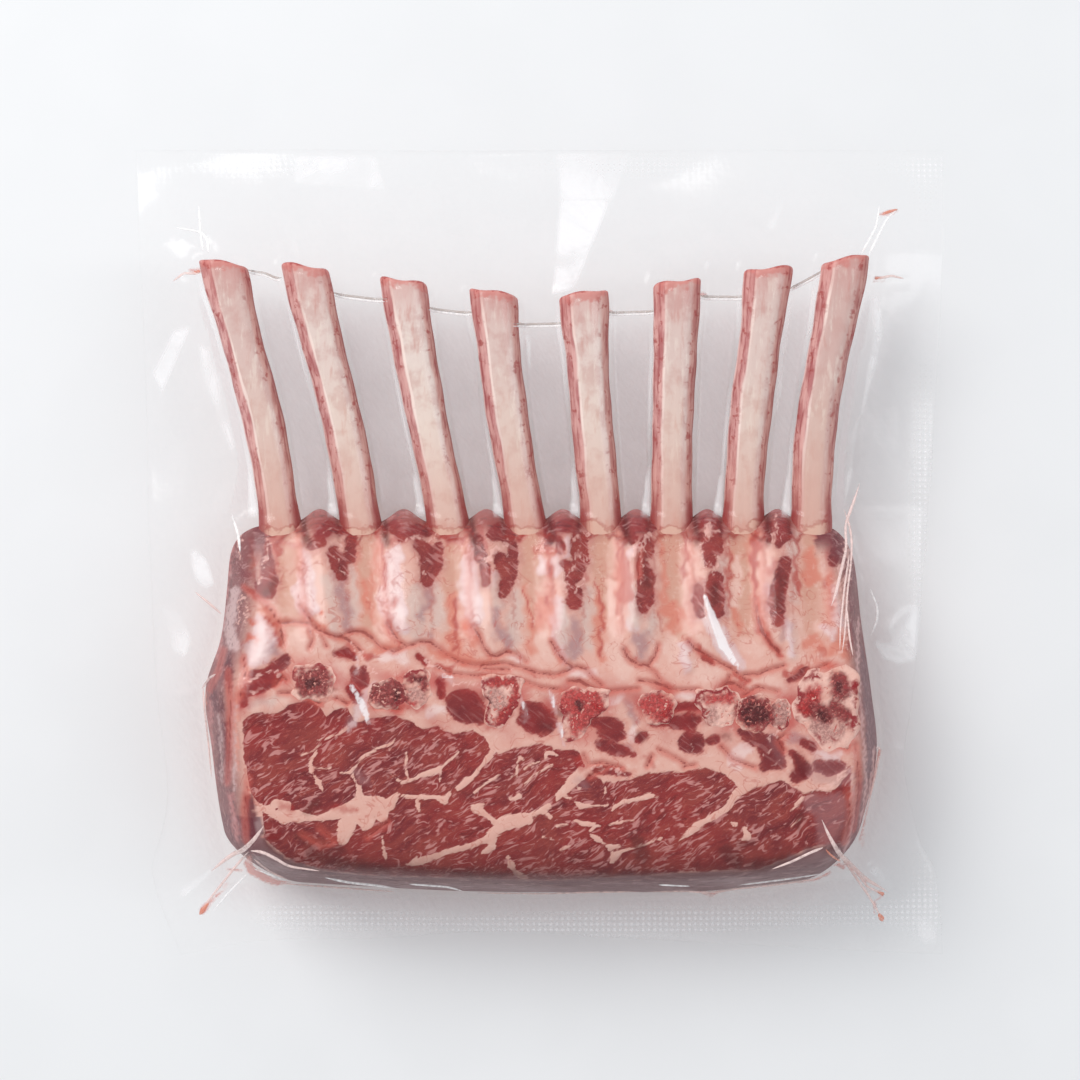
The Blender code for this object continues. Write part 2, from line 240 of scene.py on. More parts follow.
FAT_SEAMS = [
    [(-84, -76.5, .7), (-81, -78.5, 1.4), (-77.5, -79.8, 2.2), (-73, -79.6, 1.8), (-69.5, -80.3, 1.1),
     (-66, -80.6, .5)], [(-80, -75.5, 1.2), (-77, -77, 2.2)],
    [(-66.5, -80, .8), (-62, -79, 1.7), (-58, -78, 2.6), (-54, -76.6, 3.2), (-50, -76.6, 3.2),
     (-46, -76.2, 2.1), (-43, -73.5, .8)], [(-55, -78, 3.4), (-52.5, -81, 2.9)],
    [(-58, -82, 2.9), (-59.5, -86.5, 1.8)], [(-54.6, -70.5, .5), (-54.4, -75, 1.6)],
    [(-49, -75, 1.8), (-47.5, -79.5, 2.2)],
    [(-67.5, -60.5, .4), (-69.2, -63.5, .9), (-68.7, -66.5, .8), (-67, -69, .7), (-65.5, -72, .5)],
    [(-69, -65.2, .5), (-63, -65.2, .3)], [(-72, -61.5, .3), (-69, -60.2, .5), (-66, -57.5, .3)],
    [(-67, -56.8, .45), (-60.5, -54.8, .45), (-58, -53, .6)],
    [(-60, -66.6, .6), (-57, -66.5, .8), (-55.5, -64.5, .4), (-53, -61.5, .35), (-48.5, -59, .35),
     (-45, -58, .7), (-43.5, -56.3, .3)], [(-57, -66.5, .6), (-55.6, -69, .5), (-54.6, -71.5, .6)],
    [(-45.2, -58.2, .4), (-44.8, -62, .3)], [(-40.3, -60.5, .35), (-40.2, -66, .35), (-39.6, -69, .4)],
    [(-45, -67, .3), (-42, -69.3, .5), (-39.5, -68.8, .6), (-35, -67, .7), (-31, -66, .9),
     (-29.5, -64.8, .7), (-27, -62.5, .5), (-24.4, -60.2, .3)], [(-29.8, -65.2, .6), (-30.2, -69.5, .35)],
    [(-42.5, -73, .6), (-39, -73.8, .7), (-35, -74, .7), (-31.5, -74, .6), (-28.8, -75, 1.3),
     (-27.3, -73, .7)],
    [(-24.5, -71.3, .8), (-21.8, -69, 1.3), (-20, -68, .8), (-18.5, -65.5, .6), (-16, -62.5, .8),
     (-14.2, -60.3, 1.1), (-13.4, -58, 1.7)], [(-37.3, -74.5, .7), (-36.3, -78, .4)],
    [(-47.5, -85.5, .5), (-47.3, -89, .4), (-46.5, -92.5, .5)],
    [(13, -66.5, 1.8), (10, -69.4, 1.9), (8, -71.5, 1.4), (6, -73.6, 1.1), (5.2, -75, .5)],
    [(7.5, -73.5, .8), (10.5, -74.8, .5)], [(2.8, -76.8, 1), (1, -77.8, 1.1), (3.6, -80.2, .6)],
    [(1, -78, .7), (-2.5, -79.4, 1)],
    [(-3.8, -80.5, 2), (-8, -81.1, 2.3), (-11.5, -82.2, 2.1), (-13.8, -84.5, 1.6), (-15.5, -86.4, 1.2),
     (-19, -88, 1), (-23, -89.3, .9), (-28, -90.5, .8), (-33, -92.3, 1), (-37, -93.4, 1.3), (-41, -95, .5)],
    [(-14, -81, 1.1), (-16.5, -79, .8), (-19.8, -77, 1.3), (-17, -76, .4)],
    [(-14, -86, .9), (-14.3, -89, 1.3), (-17.5, -91.2, .5)],
    [(-9, -74.6, .3), (-7.3, -74.3, .6), (-6.2, -73.6, 1)],
    [(-7, -67.5, .4), (-6.6, -63, .6), (-5.8, -62, .8), (-4.8, -62.8, .3)],
    [(-19.5, -72.5, .4), (-17, -70.5, .45), (-14, -68.3, .35), (-12, -67, .2)],
    [(-14, -70.8, .2), (-10.5, -70.5, .35), (-8, -67.5, .4)],
    [(-4.6, -65.3, .5), (-2, -63.8, .35), (0, -63.2, .2)],
    [(-4.6, -70.2, .35), (-2, -67.5, .45), (0, -66, .35), (4, -64.2, .25)],
    [(1.9, -62.4, .6), (2, -60.5, .6), (4, -60.8, .6), (5.2, -61.4, .3)],
    [(-9.6, -92, .5), (-8.6, -94.5, 1.2), (-8, -96, .8), (-5.6, -98, 1), (-3.5, -99.5, 1)],
    [(22, -78, .3), (23, -76.5, .8), (26, -75, .7), (30, -74.5, .6), (33.5, -73.6, .9), (36, -73.9, .3)],
    [(10.5, -75, .5), (12.5, -76.6, .9), (16, -76.5, .4), (20.5, -76.4, .4)],
    [(10.5, -80.8, .3), (13, -81.8, .8), (15, -82.2, .8), (18, -82.4, .4)],
    [(16.4, -83, .3), (15, -85, .4), (17.3, -86.4, .8), (19.5, -88, .4), (21.5, -89, 1), (24.3, -88.7, .4)],
    [(21.8, -93.3, .8), (22.6, -91.6, 1.1), (25, -90.3, .5), (29, -89.3, .45), (33, -88, .55),
     (36.5, -86.3, .4)], [(5.3, -82.7, .6), (8.4, -82, .4)], [(1, -86, .4), (6, -87.2, .35)],
    [(6.5, -89.6, .6), (9.3, -88.7, .4)], [(19.5, -69.5, .4), (20, -72.8, .3)],
    [(11, -70, .4), (13.2, -73, .4)], [(21, -82.2, .35), (24.5, -81.5, .5), (28.5, -80.8, .2)],
    [(81, -71, 1), (76.8, -69.5, 1), (74.5, -67.6, 1)],
    [(70, -68.2, 1.2), (66, -68.4, 1.9), (62.6, -70, 2.3), (60, -72.3, 1.5), (58, -75, 1.2),
     (56.3, -77.6, 1.4), (53.3, -79.6, 1.2), (50, -81.2, 1), (47.5, -82.6, 1.3), (45, -85, .8),
     (42, -87.2, .25)], [(79.6, -74, .5), (76, -78.2, .2)], [(79.2, -79.8, .3), (76, -82.6, .15)],
    [(57, -81, .3), (59.3, -82.2, .5)], [(62, -83.5, .6), (63, -86, 1), (61.5, -86.7, .4)],
    [(80, -72.5, .6), (83.5, -71.2, .7), (88, -71.8, .6), (91, -69, .6), (93, -66.4, .4), (94.5, -61, .6)],
]
print("seams of fat on the loin:", len(FAT_SEAMS))

# %% [markdown]
# Lean also shows between the sawn bones of the spine and at the edge of each muscle between the ribs. Each
# of these islands is a short stroke or an oval. The sawn bones have outlines of their own, as lists of
# corners.

# %% The sawn bones and the small islands of lean
CHINE_BONES = [
    [(-73.6, -35.2), (-68, -34.4), (-63.4, -34.9), (-62.8, -39.6), (-64, -43.6), (-69, -43.8),
     (-73.2, -43.2), (-74, -39)],
    [(-51.6, -42.4), (-48.8, -39.6), (-43.8, -38.7), (-41.2, -41.6), (-42, -45.7), (-46, -46.8),
     (-50.4, -45.8)],
    [(-40.8, -38.2), (-38.4, -35.7), (-34.4, -36), (-33.4, -40.2), (-34.2, -44.8), (-37.6, -46.4),
     (-41, -44)],
    [(-17.4, -39.8), (-12, -37.8), (-6.8, -38.4), (-5.8, -42.2), (-8, -47.2), (-12, -51.8), (-15.8, -51),
     (-14.8, -45)],
    [(7.2, -42.6), (13, -41.8), (19.8, -43.6), (20.2, -46.2), (15.4, -50), (12.4, -55.2), (8.8, -56),
     (7.6, -49)],
    [(31, -43.6), (35, -42.2), (39.8, -43.4), (40.6, -47), (38.2, -50.8), (34, -51.4), (31.2, -48)],
    [(48.6, -42.8), (54, -41.8), (60, -43.2), (60.2, -46.8), (57.8, -51), (53.6, -52.4), (49.8, -49.2)],
    [(60.2, -46.6), (62.4, -44), (67.6, -43.8), (70.4, -46.2), (70, -51), (67, -53.2), (62, -53),
     (59.9, -50)], [(71, -45.6), (73, -44.2), (75.2, -45.8), (75.4, -50), (73.6, -53.2), (71.2, -52.6)],
    [(77.8, -43.6), (80, -39.4), (86, -36.4), (92, -36.2), (94.8, -41), (94.6, -50), (92.8, -57),
     (88, -58.8), (84.2, -56.2), (80, -51.8), (77.4, -47.6)],
]
CHINE_LEAN = [
    [(-86.5, -37.2, 1.6), (-82.5, -37.4, 1.9), (-78.6, -38, 1.1)],
    [(-88, -41.6, 1.8), (-84, -40.6, 2), (-80.5, -39.4, 1.2)], [(-89.5, -46, .8), (-89.3, -42, 1)],
    [(-82, -35.6, 1), (-79.5, -34.2, 1.8), (-77, -32.5, 1.6)], [(-56, -35.6, .9), (-55.6, -39, 1.4)],
    [(-53.2, -35.6, 1.1), (-53.4, -39.4, 1.8)], [(-57, -41.4, 1.4), (-55.4, -43.2, 2), (-54.6, -44.4, 1.2)],
    [(-24.5, -45.5, 3.6), (-22.4, -46.4, 5), (-20.6, -47.6, 4.2), (-18, -49.6, 2.4)],
    [(-3.4, -47.6, 2.4), (-1.4, -50, 4.6), (1.2, -51.4, 4)], [(-5.4, -51, 1.2), (-4.4, -49, 1.4)],
    [(16, -51.2, 1.1), (20, -52, 2.2), (23.4, -53, 2.4), (24.6, -55, 1.4)],
    [(19, -54.6, 1.4), (23, -55.4, 1.6)],
    [(18.6, -58, 1.5), (22, -59, 2), (26, -60.4, 1.2), (28.4, -61, .6)],
    [(30, -56.6, 1), (31.6, -55.2, 1.2)],
    [(34.6, -51.6, 1.1), (39, -51, 1.7), (42, -51.4, 2.2), (45.4, -51.2, 2.8), (48, -50.6, 1.2)],
    [(41, -46.6, 1.2), (47.6, -46.6, 1.2)], [(45.2, -57.6, 3), (46.8, -57.6, 3.2)],
    [(51.4, -57, 1.2), (53, -56.6, 1.4)], [(60.6, -54, .6), (63, -55.6, 1.6), (65, -57.6, 1)],
    [(66.4, -55.6, 1.6), (69.6, -58.6, 3.6), (70.6, -62.4, 3.4), (68, -65, 1.4)],
    [(72.6, -58, 1), (72.8, -64, 1.6)],
    [(76, -60.4, .9), (78.4, -63, 1.8), (79.8, -66, 2.4), (77.6, -67.6, 1.8)],
    [(84.6, -64.6, 1.8), (88, -65, 2.4), (91, -64.6, 1.6)], [(91.4, -50, .9), (92, -57, 1.4)],
    [(79.6, -57.4, 1.2), (82.6, -59, 1)], [(17, -65.8, .9), (21.5, -66, 1.1), (27, -67.2, .7)],
    [(-30, -38.8, 1.1), (-29.6, -43, 1.1)], [(-61.6, -30.6, .9), (-58.4, -30, 1.4), (-56, -32, .6)],
    [(-36.6, -31.4, .8), (-34.4, -33.4, .8)], [(49.6, -31.5, .8), (52, -33, .5)],
    [(75.6, -39, .8), (78, -37.4, 1), (80.4, -35.6, 1)],
]
RIB_SIDE_LEAN = [
    [(-83.2, 2.5, .9), (-82.6, -4, 1.7), (-82, -9.5, 2.2), (-82.5, -12, 1.9)],
    [(-85.6, -9.5, .9), (-84.2, -12.2, 1.3)], [(-66.5, 5, 1.5), (-63.5, 8.4, 1.8), (-59.5, 7.5, 2)],
    [(-69.3, 2.2, 1.2), (-66.2, 3, 1)], [(-62.8, 0, 1.6), (-60.8, -3.4, 2.4), (-60.2, -6.6, 1.5)],
    [(-57.4, 4.5, 1.3), (-57.6, -1.5, 1.3)], [(-45.5, 8.5, 2), (-42.8, 6, 1.4)],
    [(-41.5, 4.6, 1.2), (-37.5, 7, 1.7), (-34.5, 6.5, 1.6)],
    [(-36.6, 2.5, 1.5), (-33.8, -.6, 2.6), (-33.2, -5, 2.5), (-34.2, -8.6, 1.7)],
    [(-30.8, 2, .9), (-30.6, -4.6, .7)], [(-18.6, 4, 1.2), (-18, -1.5, 1.4)],
    [(-14, 5.5, 1.6), (-11.6, 7, 2.2), (-9.4, 4.4, 1.8)], [(-7.9, 2.2, 1), (-8.2, -2.5, 1.5)],
    [(-12.2, -1.6, 1.7), (-10, -5, 2.6), (-9.6, -8, 2), (-11, -12.6, 1)],
    [(-16.6, -4.4, 1.4), (-16.4, -9, 1)], [(3, 9.5, 1.4), (3.4, 5, 1.3), (2.6, 3, .9)],
    [(7, 8, 1.6), (10.4, 8, 2)], [(6, 3.6, 1), (6.4, .4, .9)],
    [(12.4, 3.8, 2.2), (12.2, .4, 2.4), (13.6, -2.4, 1.3)], [(7.6, -3.6, 1.2), (8.6, -4, 1.2)],
    [(11.4, -4.8, 2.2), (10.2, -7.4, 2.2)], [(9.8, -10.6, 1.1), (11, -12.6, 2.1), (10.6, -15, 1.9)],
    [(26.6, 8.6, 1.8), (28, 4.4, 1.4)], [(31.4, 9, 2.4), (34, 8, 1.6)], [(32.8, 2.4, 1.9), (33, .2, 1.6)],
    [(31, -3, 1.3), (32.6, -8, 2.5), (32, -14, 2.3), (31.4, -17, 1.5)], [(47, 14, 1.6), (49, 9.4, 1.8)],
    [(53.8, 9, 1.6), (54.2, 6.6, 1.7)], [(51.8, 13.6, 1.6), (55, 14.4, 1.2)],
    [(49.6, 4.8, .9), (51.2, 1, 1.1)], [(53.6, 3, 1.9), (54.2, 1, 1.6)], [(51.4, -.8, 1.3), (52, -3, 1.3)],
    [(53.6, -8, 2.1), (53, -13, 2.6), (54, -18, 1.6)],
    [(48.4, -11, 1), (47.8, -14.6, 1.5), (48.6, -18.6, .9)], [(69, 15.4, 2.2), (72.5, 14.6, 1.8)],
    [(74.6, 8.6, 1.7), (74.6, 5.4, 2.2), (73, 2.8, 1)], [(69.8, 8, .9), (70, 4, .7)],
    [(74.8, -3, 1.6), (73, -9, 2.2), (71.8, -15, 2.4), (72.2, -20.5, 1.5)], [(88.8, 14, 1.6), (90, 10, 1.2)],
    [(90.8, 7, 1), (91.6, 3, 1.4), (89.4, -2.6, 1.3)],
]
print("sawn bones:", len(CHINE_BONES), "islands of lean:", len(CHINE_LEAN) + len(RIB_SIDE_LEAN))

# %% [markdown]
# Fat isn't one colour. Over the ribs it is tan, firm fat is almost white, silverskin is grey to mauve, and
# blood leaves salmon and red stains. Light and shade are painted here too: the near-white and lilac strokes
# also make highlight on the lit left sides of the lumps between the ribs and glare on the film over the
# backbone, and the darkest strokes make shade in gaps and along the loin's lower edge. These are painted on
# like make-up, one soft stroke over the other: `FAT_TINTS` on the fat alone, and `WASHES` as thin veils over
# fat and lean together. Every layer names its colour, how soft its border is in mm and how much it covers.

# %% The colours and places of the soft tissues
def srgb(red, green, blue):
    """A colour as a paint chart gives it, 0 to 255, in the linear values that materials use."""
    shares = (red / 255, green / 255, blue / 255)
    linear = [c / 12.92 if c <= 0.04045 else ((c + 0.055) / 1.055) ** 2.4 for c in shares]
    return (*linear, 1.0)


# The bright and lilac fat colours also paint highlight: the lit left sides of the lumps between the ribs, and
# glare on the film over the backbone.
BRIGHT_FAT_AND_HIGHLIGHT, LILAC_FAT_AND_HIGHLIGHT = srgb(232, 210, 206), srgb(218, 188, 186)
CREAM_FAT, PEACH_FAT = srgb(220, 178, 165), srgb(216, 167, 153)
TAN_RIB, SALMON_FAT = srgb(198, 148, 130), srgb(204, 122, 104)
RED_EDGE, ORANGE_STAIN = srgb(168, 64, 58), srgb(210, 96, 68)
GREY_SKIN, MAUVE_SKIN, PINK_FLESH = srgb(206, 178, 168), srgb(164, 126, 128), srgb(190, 116, 108)
# The darkest colour here paints shade: along the loin's lower edge and in the gaps at the rib roots and round
# the cut bones, with a few dark spots as well.
FRESH_BLOOD, OLD_BLOOD, SHADE_AND_DARK_SPOTS = srgb(164, 40, 36), srgb(120, 18, 20), srgb(84, 32, 32)
SALMON_FLUSH, BLOOD_HALO, PINK_HALO = srgb(206, 118, 104), srgb(186, 84, 78), srgb(190, 100, 90)
MAUVE_HALO, SAWN_RED, CRIMSON = srgb(176, 108, 104), srgb(170, 52, 50), srgb(100, 18, 28)
TORN_RED, TORN_LINE, SIDE_SKIN = srgb(142, 54, 56), srgb(150, 52, 48), srgb(116, 58, 64)
WALL_SKIN, WALL_STRAND, UNDER_EDGE = srgb(112, 76, 80), srgb(168, 142, 142), srgb(104, 60, 60)

FAT_TINTS = [
    (TAN_RIB, 1, .9, [
        [(-76, -1, 2.6), (-76.6, -8, 3), (-75, -14, 3.6), (-72, -18.6, 2.6)],
        [(-52, 3, 2.6), (-52, -20, 2.8)], [(-26.4, 2, 2.6), (-26, -12, 2.2)], [(-3, 4, 3), (-2, -8, 2.6)],
        [(19, 4, 3.2), (19.6, -6, 2.8), (20.6, -12, 2)], [(39.6, 8, 3.2), (40.4, -10, 2.8), (41, -20, 2)],
        [(61, 14, 3.2), (61, -20, 3)], [(82, 4, 1.8), (82, -14, 1.8)],
    ]),
    (SALMON_FAT, 1.3, .85, [
        [(-52.6, -9, 1.4), (-52.6, -16, 1.6)], [(-50.4, 1, .9), (-50.6, -22, .8)],
        [(-55.4, 0, .6), (-55, -20, .9)], [(-26.4, -14, 2), (-25.8, -31, 2.4)],
        [(-22.4, -21, 2), (-19.6, -28, 1.6)], [(1.4, -14, 1.6), (1, -20, 2.4), (-1, -24, 1.6)],
        [(-4.4, -10, .8), (-2.4, -24, 1), (-2.6, -30, 1)],
        [(17.4, -12, 1), (18.6, -22, 1.5), (19, -32, 1.4)], [(23.4, -4, .8), (23.6, -19, .9)],
        [(39, -17, 2.8), (42, -20, 2), (40, -24, 1.4)], [(37.4, 4, .8), (37.6, -14, .9)],
        [(57.8, 0, .9), (58, -16, .9), (60.4, -22, 1.5)], [(64.8, 10, .9), (65.6, -16, 1.4)],
        [(82, 0, 1.9), (82.6, -8, 2.2)],
        [(82, -27, 2.4), (87, -33, 2.2), (92.4, -24, 1.6), (93.4, -32, 1.6)],
        [(87.4, -8, 1.2), (89.6, -15, 1.3)], [(-84, -17, 1), (-80.4, -22, 1.2), (-78.4, -27, 1)],
        [(-66.6, -23, 1), (-60, -25.6, .8)], [(-46.6, -22.6, .9), (-43, -28, 1.2), (-49, -29.6, 1.6)],
        [(3.4, -20, .7), (4.2, -28, .9), (7, -33.4, .8)],
        [(-33, -29.6, 1.4), (-28, -31.6, 1.8), (-14, -33, 1.3)],
    ]),
    (CREAM_FAT, 1, .9, [
        [(-92, -9.6, 2.2), (-93.4, -20, 3.4), (-91, -30, 3)], [(-73, -26, 3.6), (-69, -28, 3)],
        [(-65.6, -27, 2.2), (-62.6, -28.6, 2)], [(-67.4, -3, 1.8), (-66.6, -12, 2.2), (-66, -20, 2)],
        [(-40.4, -6, 1.4), (-40.4, -18, 1.6), (-40, -24, 2)],
        [(-17, -14, 1.6), (-16.4, -24, 2), (-15, -29, 1.6)], [(1, -27, 3.2), (3, -32, 2)],
        [(22, -10, 1.4), (22.4, -28, 2.6), (25, -36, 2.4)],
        [(45.6, 5, 1.6), (46, -8, 1.8), (45.4, -16, 1.6), (47, -24, 1.7), (50.4, -29.4, 1.3)],
        [(59.6, -2, 1.4), (59.8, -16, 1.4)],
        [(68, 4, 1.6), (68.6, -10, 1.6), (68, -17, 1.5), (71, -25, 1.5)], [(77, -22, 2.6), (77, -32, 2.4)],
        [(86.6, 2, 1.8), (86.4, -6, 1.4)], [(84, -22.6, 1.8), (88, -24.6, 2)],
        [(40, -28, 3.4), (44, -35, 3.4), (52, -37, 2.6)], [(62, -28, 2.6), (66, -30, 2)],
        [(-60.2, -34.6, 2.6), (-59.6, -38.6, 2.6)], [(-62.4, -43, 1.1), (-61, -47, 1.5)],
        [(-50, -44, .8), (-44, -48.6, 1.2)], [(68, -38, 2), (74, -40.6, 1.6)], [(84, -31, 1), (92, -33, 1)],
        [(-10, -31, 1.4), (-6, -33, 1.2)], [(-78, -44, 2.6), (-86, -46, 2.2)],
    ]),
    # Lilac fat, and also painted highlight on the lit left sides of the lumps between the ribs.
    (LILAC_FAT_AND_HIGHLIGHT, .7, .95, [
        [(-85, -21.6, 2.7), (-84, -27, 5), (-85.6, -31.4, 3.2)], [(-80.6, -25, 2.3)] * 2,
        [(-70.8, -1.6, 1.9), (-70.6, -6, 2.5), (-71.6, -11, 3.3), (-71, -15, 3.1), (-69, -17.2, 1.8)],
        [(-44, .6, 2), (-44.6, -7, 3.6), (-45, -14, 3.8), (-43.6, -19, 3.3), (-41.6, -22.6, 2)],
        [(-20.4, 1.6, 1), (-21.4, -5, 3.1), (-21.4, -10, 3.2), (-20.4, -15.4, 2.9), (-19.4, -20, 1.7),
         (-18.8, -22.6, .7)], [(.8, -2.4, 1.8), (1.6, -5.4, 2.5)], [(4.8, -2.6, 1.7), (5.2, -6, 1.8)],
        [(5.6, -14, 1.7), (6, -26, 1.8), (8, -33, 1.1)],
        [(47.4, -13.6, .8), (51, -20, 1.8), (55, -27, 2.5), (59, -32.6, 1.8), (61.4, -35, .7)],
        [(44, -28, 1.8), (44.8, -34.4, 1.7)], [(69.6, -11, 1.3), (69.8, -16, 1.3)],
        [(75.6, -22, 1.4), (76.4, -31, 1.1)], [(86.6, -23, 1.8), (89, -25, 1.6)],
        [(89, -12, 1.4), (91, -22, 1.6)], [(28.6, -13, 1.3), (28.4, -22, 1.6)],
        [(-14.4, -6, 1), (-13.4, -10, .9)], [(8.6, 4, 1.3), (8.2, -1, 1)], [(32, 5, .8), (28, -1, 1.1)],
    ]),
    # Near-white fat, and also painted highlight on the lit left sides of the lumps between the ribs.
    (BRIGHT_FAT_AND_HIGHLIGHT, .8, .6, [
        [(-71, -3.4, 1), (-70.4, -7, 1.7)], [(-71.6, -12, 1.4), (-70.6, -15, 1.6)],
        [(-84.6, -24, 1.8), (-85, -30, 2)], [(-45, -5, 1.6), (-45.6, -13, 2)],
        [(-44.4, -17, 1.8), (-42.4, -19, 1.4)], [(-21.6, -6, 1.5), (-21, -14, 1.7), (-19.6, -20, .9)],
        [(1.2, -4, 1.5), (1.8, -6, 1.3)], [(5, -3, 1), (5.2, -5.4, 1)], [(51, -19, .9), (55.4, -27, 1.4)],
        [(87.4, -24, 1.1), (88.4, -25, 1.1)], [(44.6, -30, .9), (44.8, -33, .9)],
        [(-48, -31.6, 1.6), (-41, -32, 1.7)], [(-9, -32.4, 1.1), (-5.6, -32, .9)],
        [(21.6, -44.8, 1.5), (25, -44, 1.5)], [(43.4, -43.4, 1.6), (46.6, -43.4, 1.5)],
        [(59, -63, 2.9), (61.6, -60, 2.3)], [(28.4, -53, 1.5), (27.6, -56.6, 1.4)],
        [(85, -62, 1.5), (90, -61, 1.1)], [(-33, -48.6, 2), (-30, -48, 1.8)],
        [(10, -36, 1.3), (16, -36.4, 1.6)], [(-29.6, -37.4, 1), (-27, -38, .7)],
    ]),
    (GREY_SKIN, 1.6, .9, [
        [(-64, -8, 1.5), (-62.6, -16, 2), (-62.6, -23, 1.8)],
        [(-57, -5, 1.2), (-56.4, -14, 1.4), (-56, -21, 1.3)],
        [(-37.6, -12, 2), (-37, -20, 3), (-36.6, -25, 2.4)], [(-31, -11, 1.3), (-31, -22, 2)],
        [(-7.4, -12, 1.4), (-7.4, -24, 2), (-6.6, -30, 1.2)], [(-13.6, -8, .7), (-12, -16, 1.6)],
        [(14.6, -12, 1.2), (14.6, -28, 1.6)], [(7.4, -16, 1), (7, -27, 1)],
        [(28.4, -10, 1.1), (29, -20, 1.8)], [(34.6, -18, 1.4), (33, -24, 2.2)],
        [(55.6, -2, 1), (56, -10, 1.3), (56, -18, 1.4)], [(77, 6, 1.3), (77, -4, 1.4), (76.4, -14, 1.6)],
        [(-85, -44.6, 1.4), (-80, -45, 1.4)],
    ]),
    (MAUVE_SKIN, 1.4, .8, [
        [(-62.6, -1, .9), (-60.8, -8, 1.3), (-60, -13, 1.3), (-58.4, -18, 1.4), (-57.6, -22.4, 1.5)],
        [(-34, -10, 1), (-33.8, -16, 1.2), (-35.6, -18.6, 1.2)], [(-33, -25, .8)] * 2,
        [(-13, -17, 1.5), (-13.4, -24, 1.5), (-10, -25, 2.2), (-9.6, -28.6, 1.6)],
        [(10.6, -21, 1.8), (10.8, -27, 2.3), (10.2, -31.4, 1.5)], [(30.6, -26, 2.4), (31.4, -31, 1.7)],
        [(50, -10, 1.4), (54.6, -12, 2), (54, -19, 1.5)], [(74, -20, 1.4), (73.6, -25, .9)],
        [(-80.6, -28.6, 1.9), (-79, -31, 1.6)], [(-88.6, -39, .9), (-88.8, -46, .7)],
        [(27.4, -46.6, 1.2), (29.6, -51, .9)], [(17.6, -57.4, .9), (27, -60.4, 1.2)],
        [(75, -55, 1.2), (80, -57, 2.4), (83.6, -59.6, 1)],
    ]),
    (PINK_FLESH, .7, .9, [
        [(-90, -4.4, 1.2), (-88.4, -6.6, 1.7)],
        [(-87.4, 6.8, .9), (-83.4, 5.4, 1.2), (-79, 4, .9), (-75, 1.8, .8), (-71.4, 1.8, .8)],
        [(-83.4, 2, 1), (-81.6, 0, .9)], [(-67, 6, 1.4), (-62.6, 9.4, 1.4)],
        [(-44.4, 3.6, 1.2), (-38.6, 6.4, 1.4), (-35, 6, 1.2)],
        [(-30.8, 6, 1.2), (-26, 3.2, .9), (-22, 3.4, .7)], [(-15, 6.6, 1.2), (-10, 7, 1.2)],
        [(-19, 8, 1.4), (-17.6, 4, 1), (-17.4, -2, .9)], [(-6, 4.4, 1.2), (-4.6, 6, 1.2)],
        [(25.4, 1.6, 1.2), (26.2, -4, 1.6), (26.4, -14, 1.6)], [(25, 10, 1), (30, 9, 1.4)],
        [(35, 9.6, 1.2), (38, 9, 1)], [(48, 15.6, 1.2), (54, 15, 1.4)], [(57, 11.6, 1), (59.6, 13.6, .8)],
        [(70, 16, 1.4), (75, 13, 1.4)], [(71, -2, 1.2), (70.6, -6, .9)], [(92, 4, .9), (91.4, 9, .8)],
        [(88.6, -1.4, 1.2), (90.4, 1, 1.2)], [(94.4, -8, .8), (96, -18, .8)],
        [(-58, -29.6, 1.3), (-55.6, -31.6, 1)], [(3, .8, .5), (3.2, -5, .5)], [(12, -2.4, .8), (14, -9, .5)],
    ]),
    (RED_EDGE, .55, .85, [
        [(-79.8, 2.6, 1), (-79.4, -3, .6), (-78.6, -6, .3)], [(-47.6, 2, .5), (-47.8, -10, .3)],
        [(-24.6, -14, .5), (-25.8, -22, .6), (-26, -30, .5)],
        [(-4.6, -11, .3), (-2.6, -20, .3), (-2, -23, .2)], [(1.8, -13, .7), (2.6, -14.6, .5)],
        [(17, -9, .4), (18.4, -16, .5), (18.6, -22, .5), (19.2, -31, .5)],
        [(23.8, 4, .5), (23.8, -2, .5), (24.6, -8, .3), (24, -19, .3)],
        [(43.8, 9, .6), (44.2, -2, .5), (44.2, -9, .3)], [(36.8, -18, .2), (37.2, -24, .4)],
        [(57.2, 4, .3), (57.8, -10, .5), (58.4, -17, .3)],
        [(65.4, 8, .8), (65.8, 0, 1.1), (65.6, -6, .9), (65.4, -13, .4)],
        [(78.6, 8, .3), (78.4, -4, .5), (78.4, -9, 1.2), (79, -13, .6)],
        [(66, -20, .6), (67.6, -25, .8), (70.4, -28.6, .6), (73, -31, .5)],
        [(-82.6, -19.6, .5), (-79.6, -23, .7), (-78, -28, .5)], [(86.4, -8, .5), (86.6, -12, .4)],
        [(47, -28.6, .5), (50, -31.6, .9), (53, -33, .5)], [(60, -36.6, .7), (62.6, -39, 1)],
        [(75, -37.6, 1.2), (80, -35.4, 1.4)], [(94.6, -22, .8), (94, -29, .7)],
        [(-50.8, 5.6, .7), (-47, 3, .4)], [(-29, 5.4, 1.2), (-22.6, 4.6, .8)], [(-6.8, 5, 1), (-5, 7, 1.2)],
        [(14.6, 5, .6), (17.4, 5, .4)], [(36, 11, .9), (38, 9.4, .5)], [(56.6, 12.6, .8), (58.6, 12, .4)],
        [(-86.4, -12.6, 1.2), (-84.6, -11, .8)], [(-31, -34.6, .6), (-26, -35.6, .6)],
        [(-52, -31, 1), (-49.6, -31.4, .6)],
    ]),
    (ORANGE_STAIN, .8, .85, [
        [(-88.4, 3.4, .8), (-88, 0, 1.2), (-87.4, -3.6, .9)], [(-89, -20, .8), (-86.6, -21.4, 1)],
        [(-88.4, -26.4, 1.1), (-86.8, -26.2, .8)], [(-66.6, -17.4, .7), (-66.4, -18.4, .7)],
        [(-22.4, -21.6, .9), (-20.4, -22, .6)],
    ]),
]
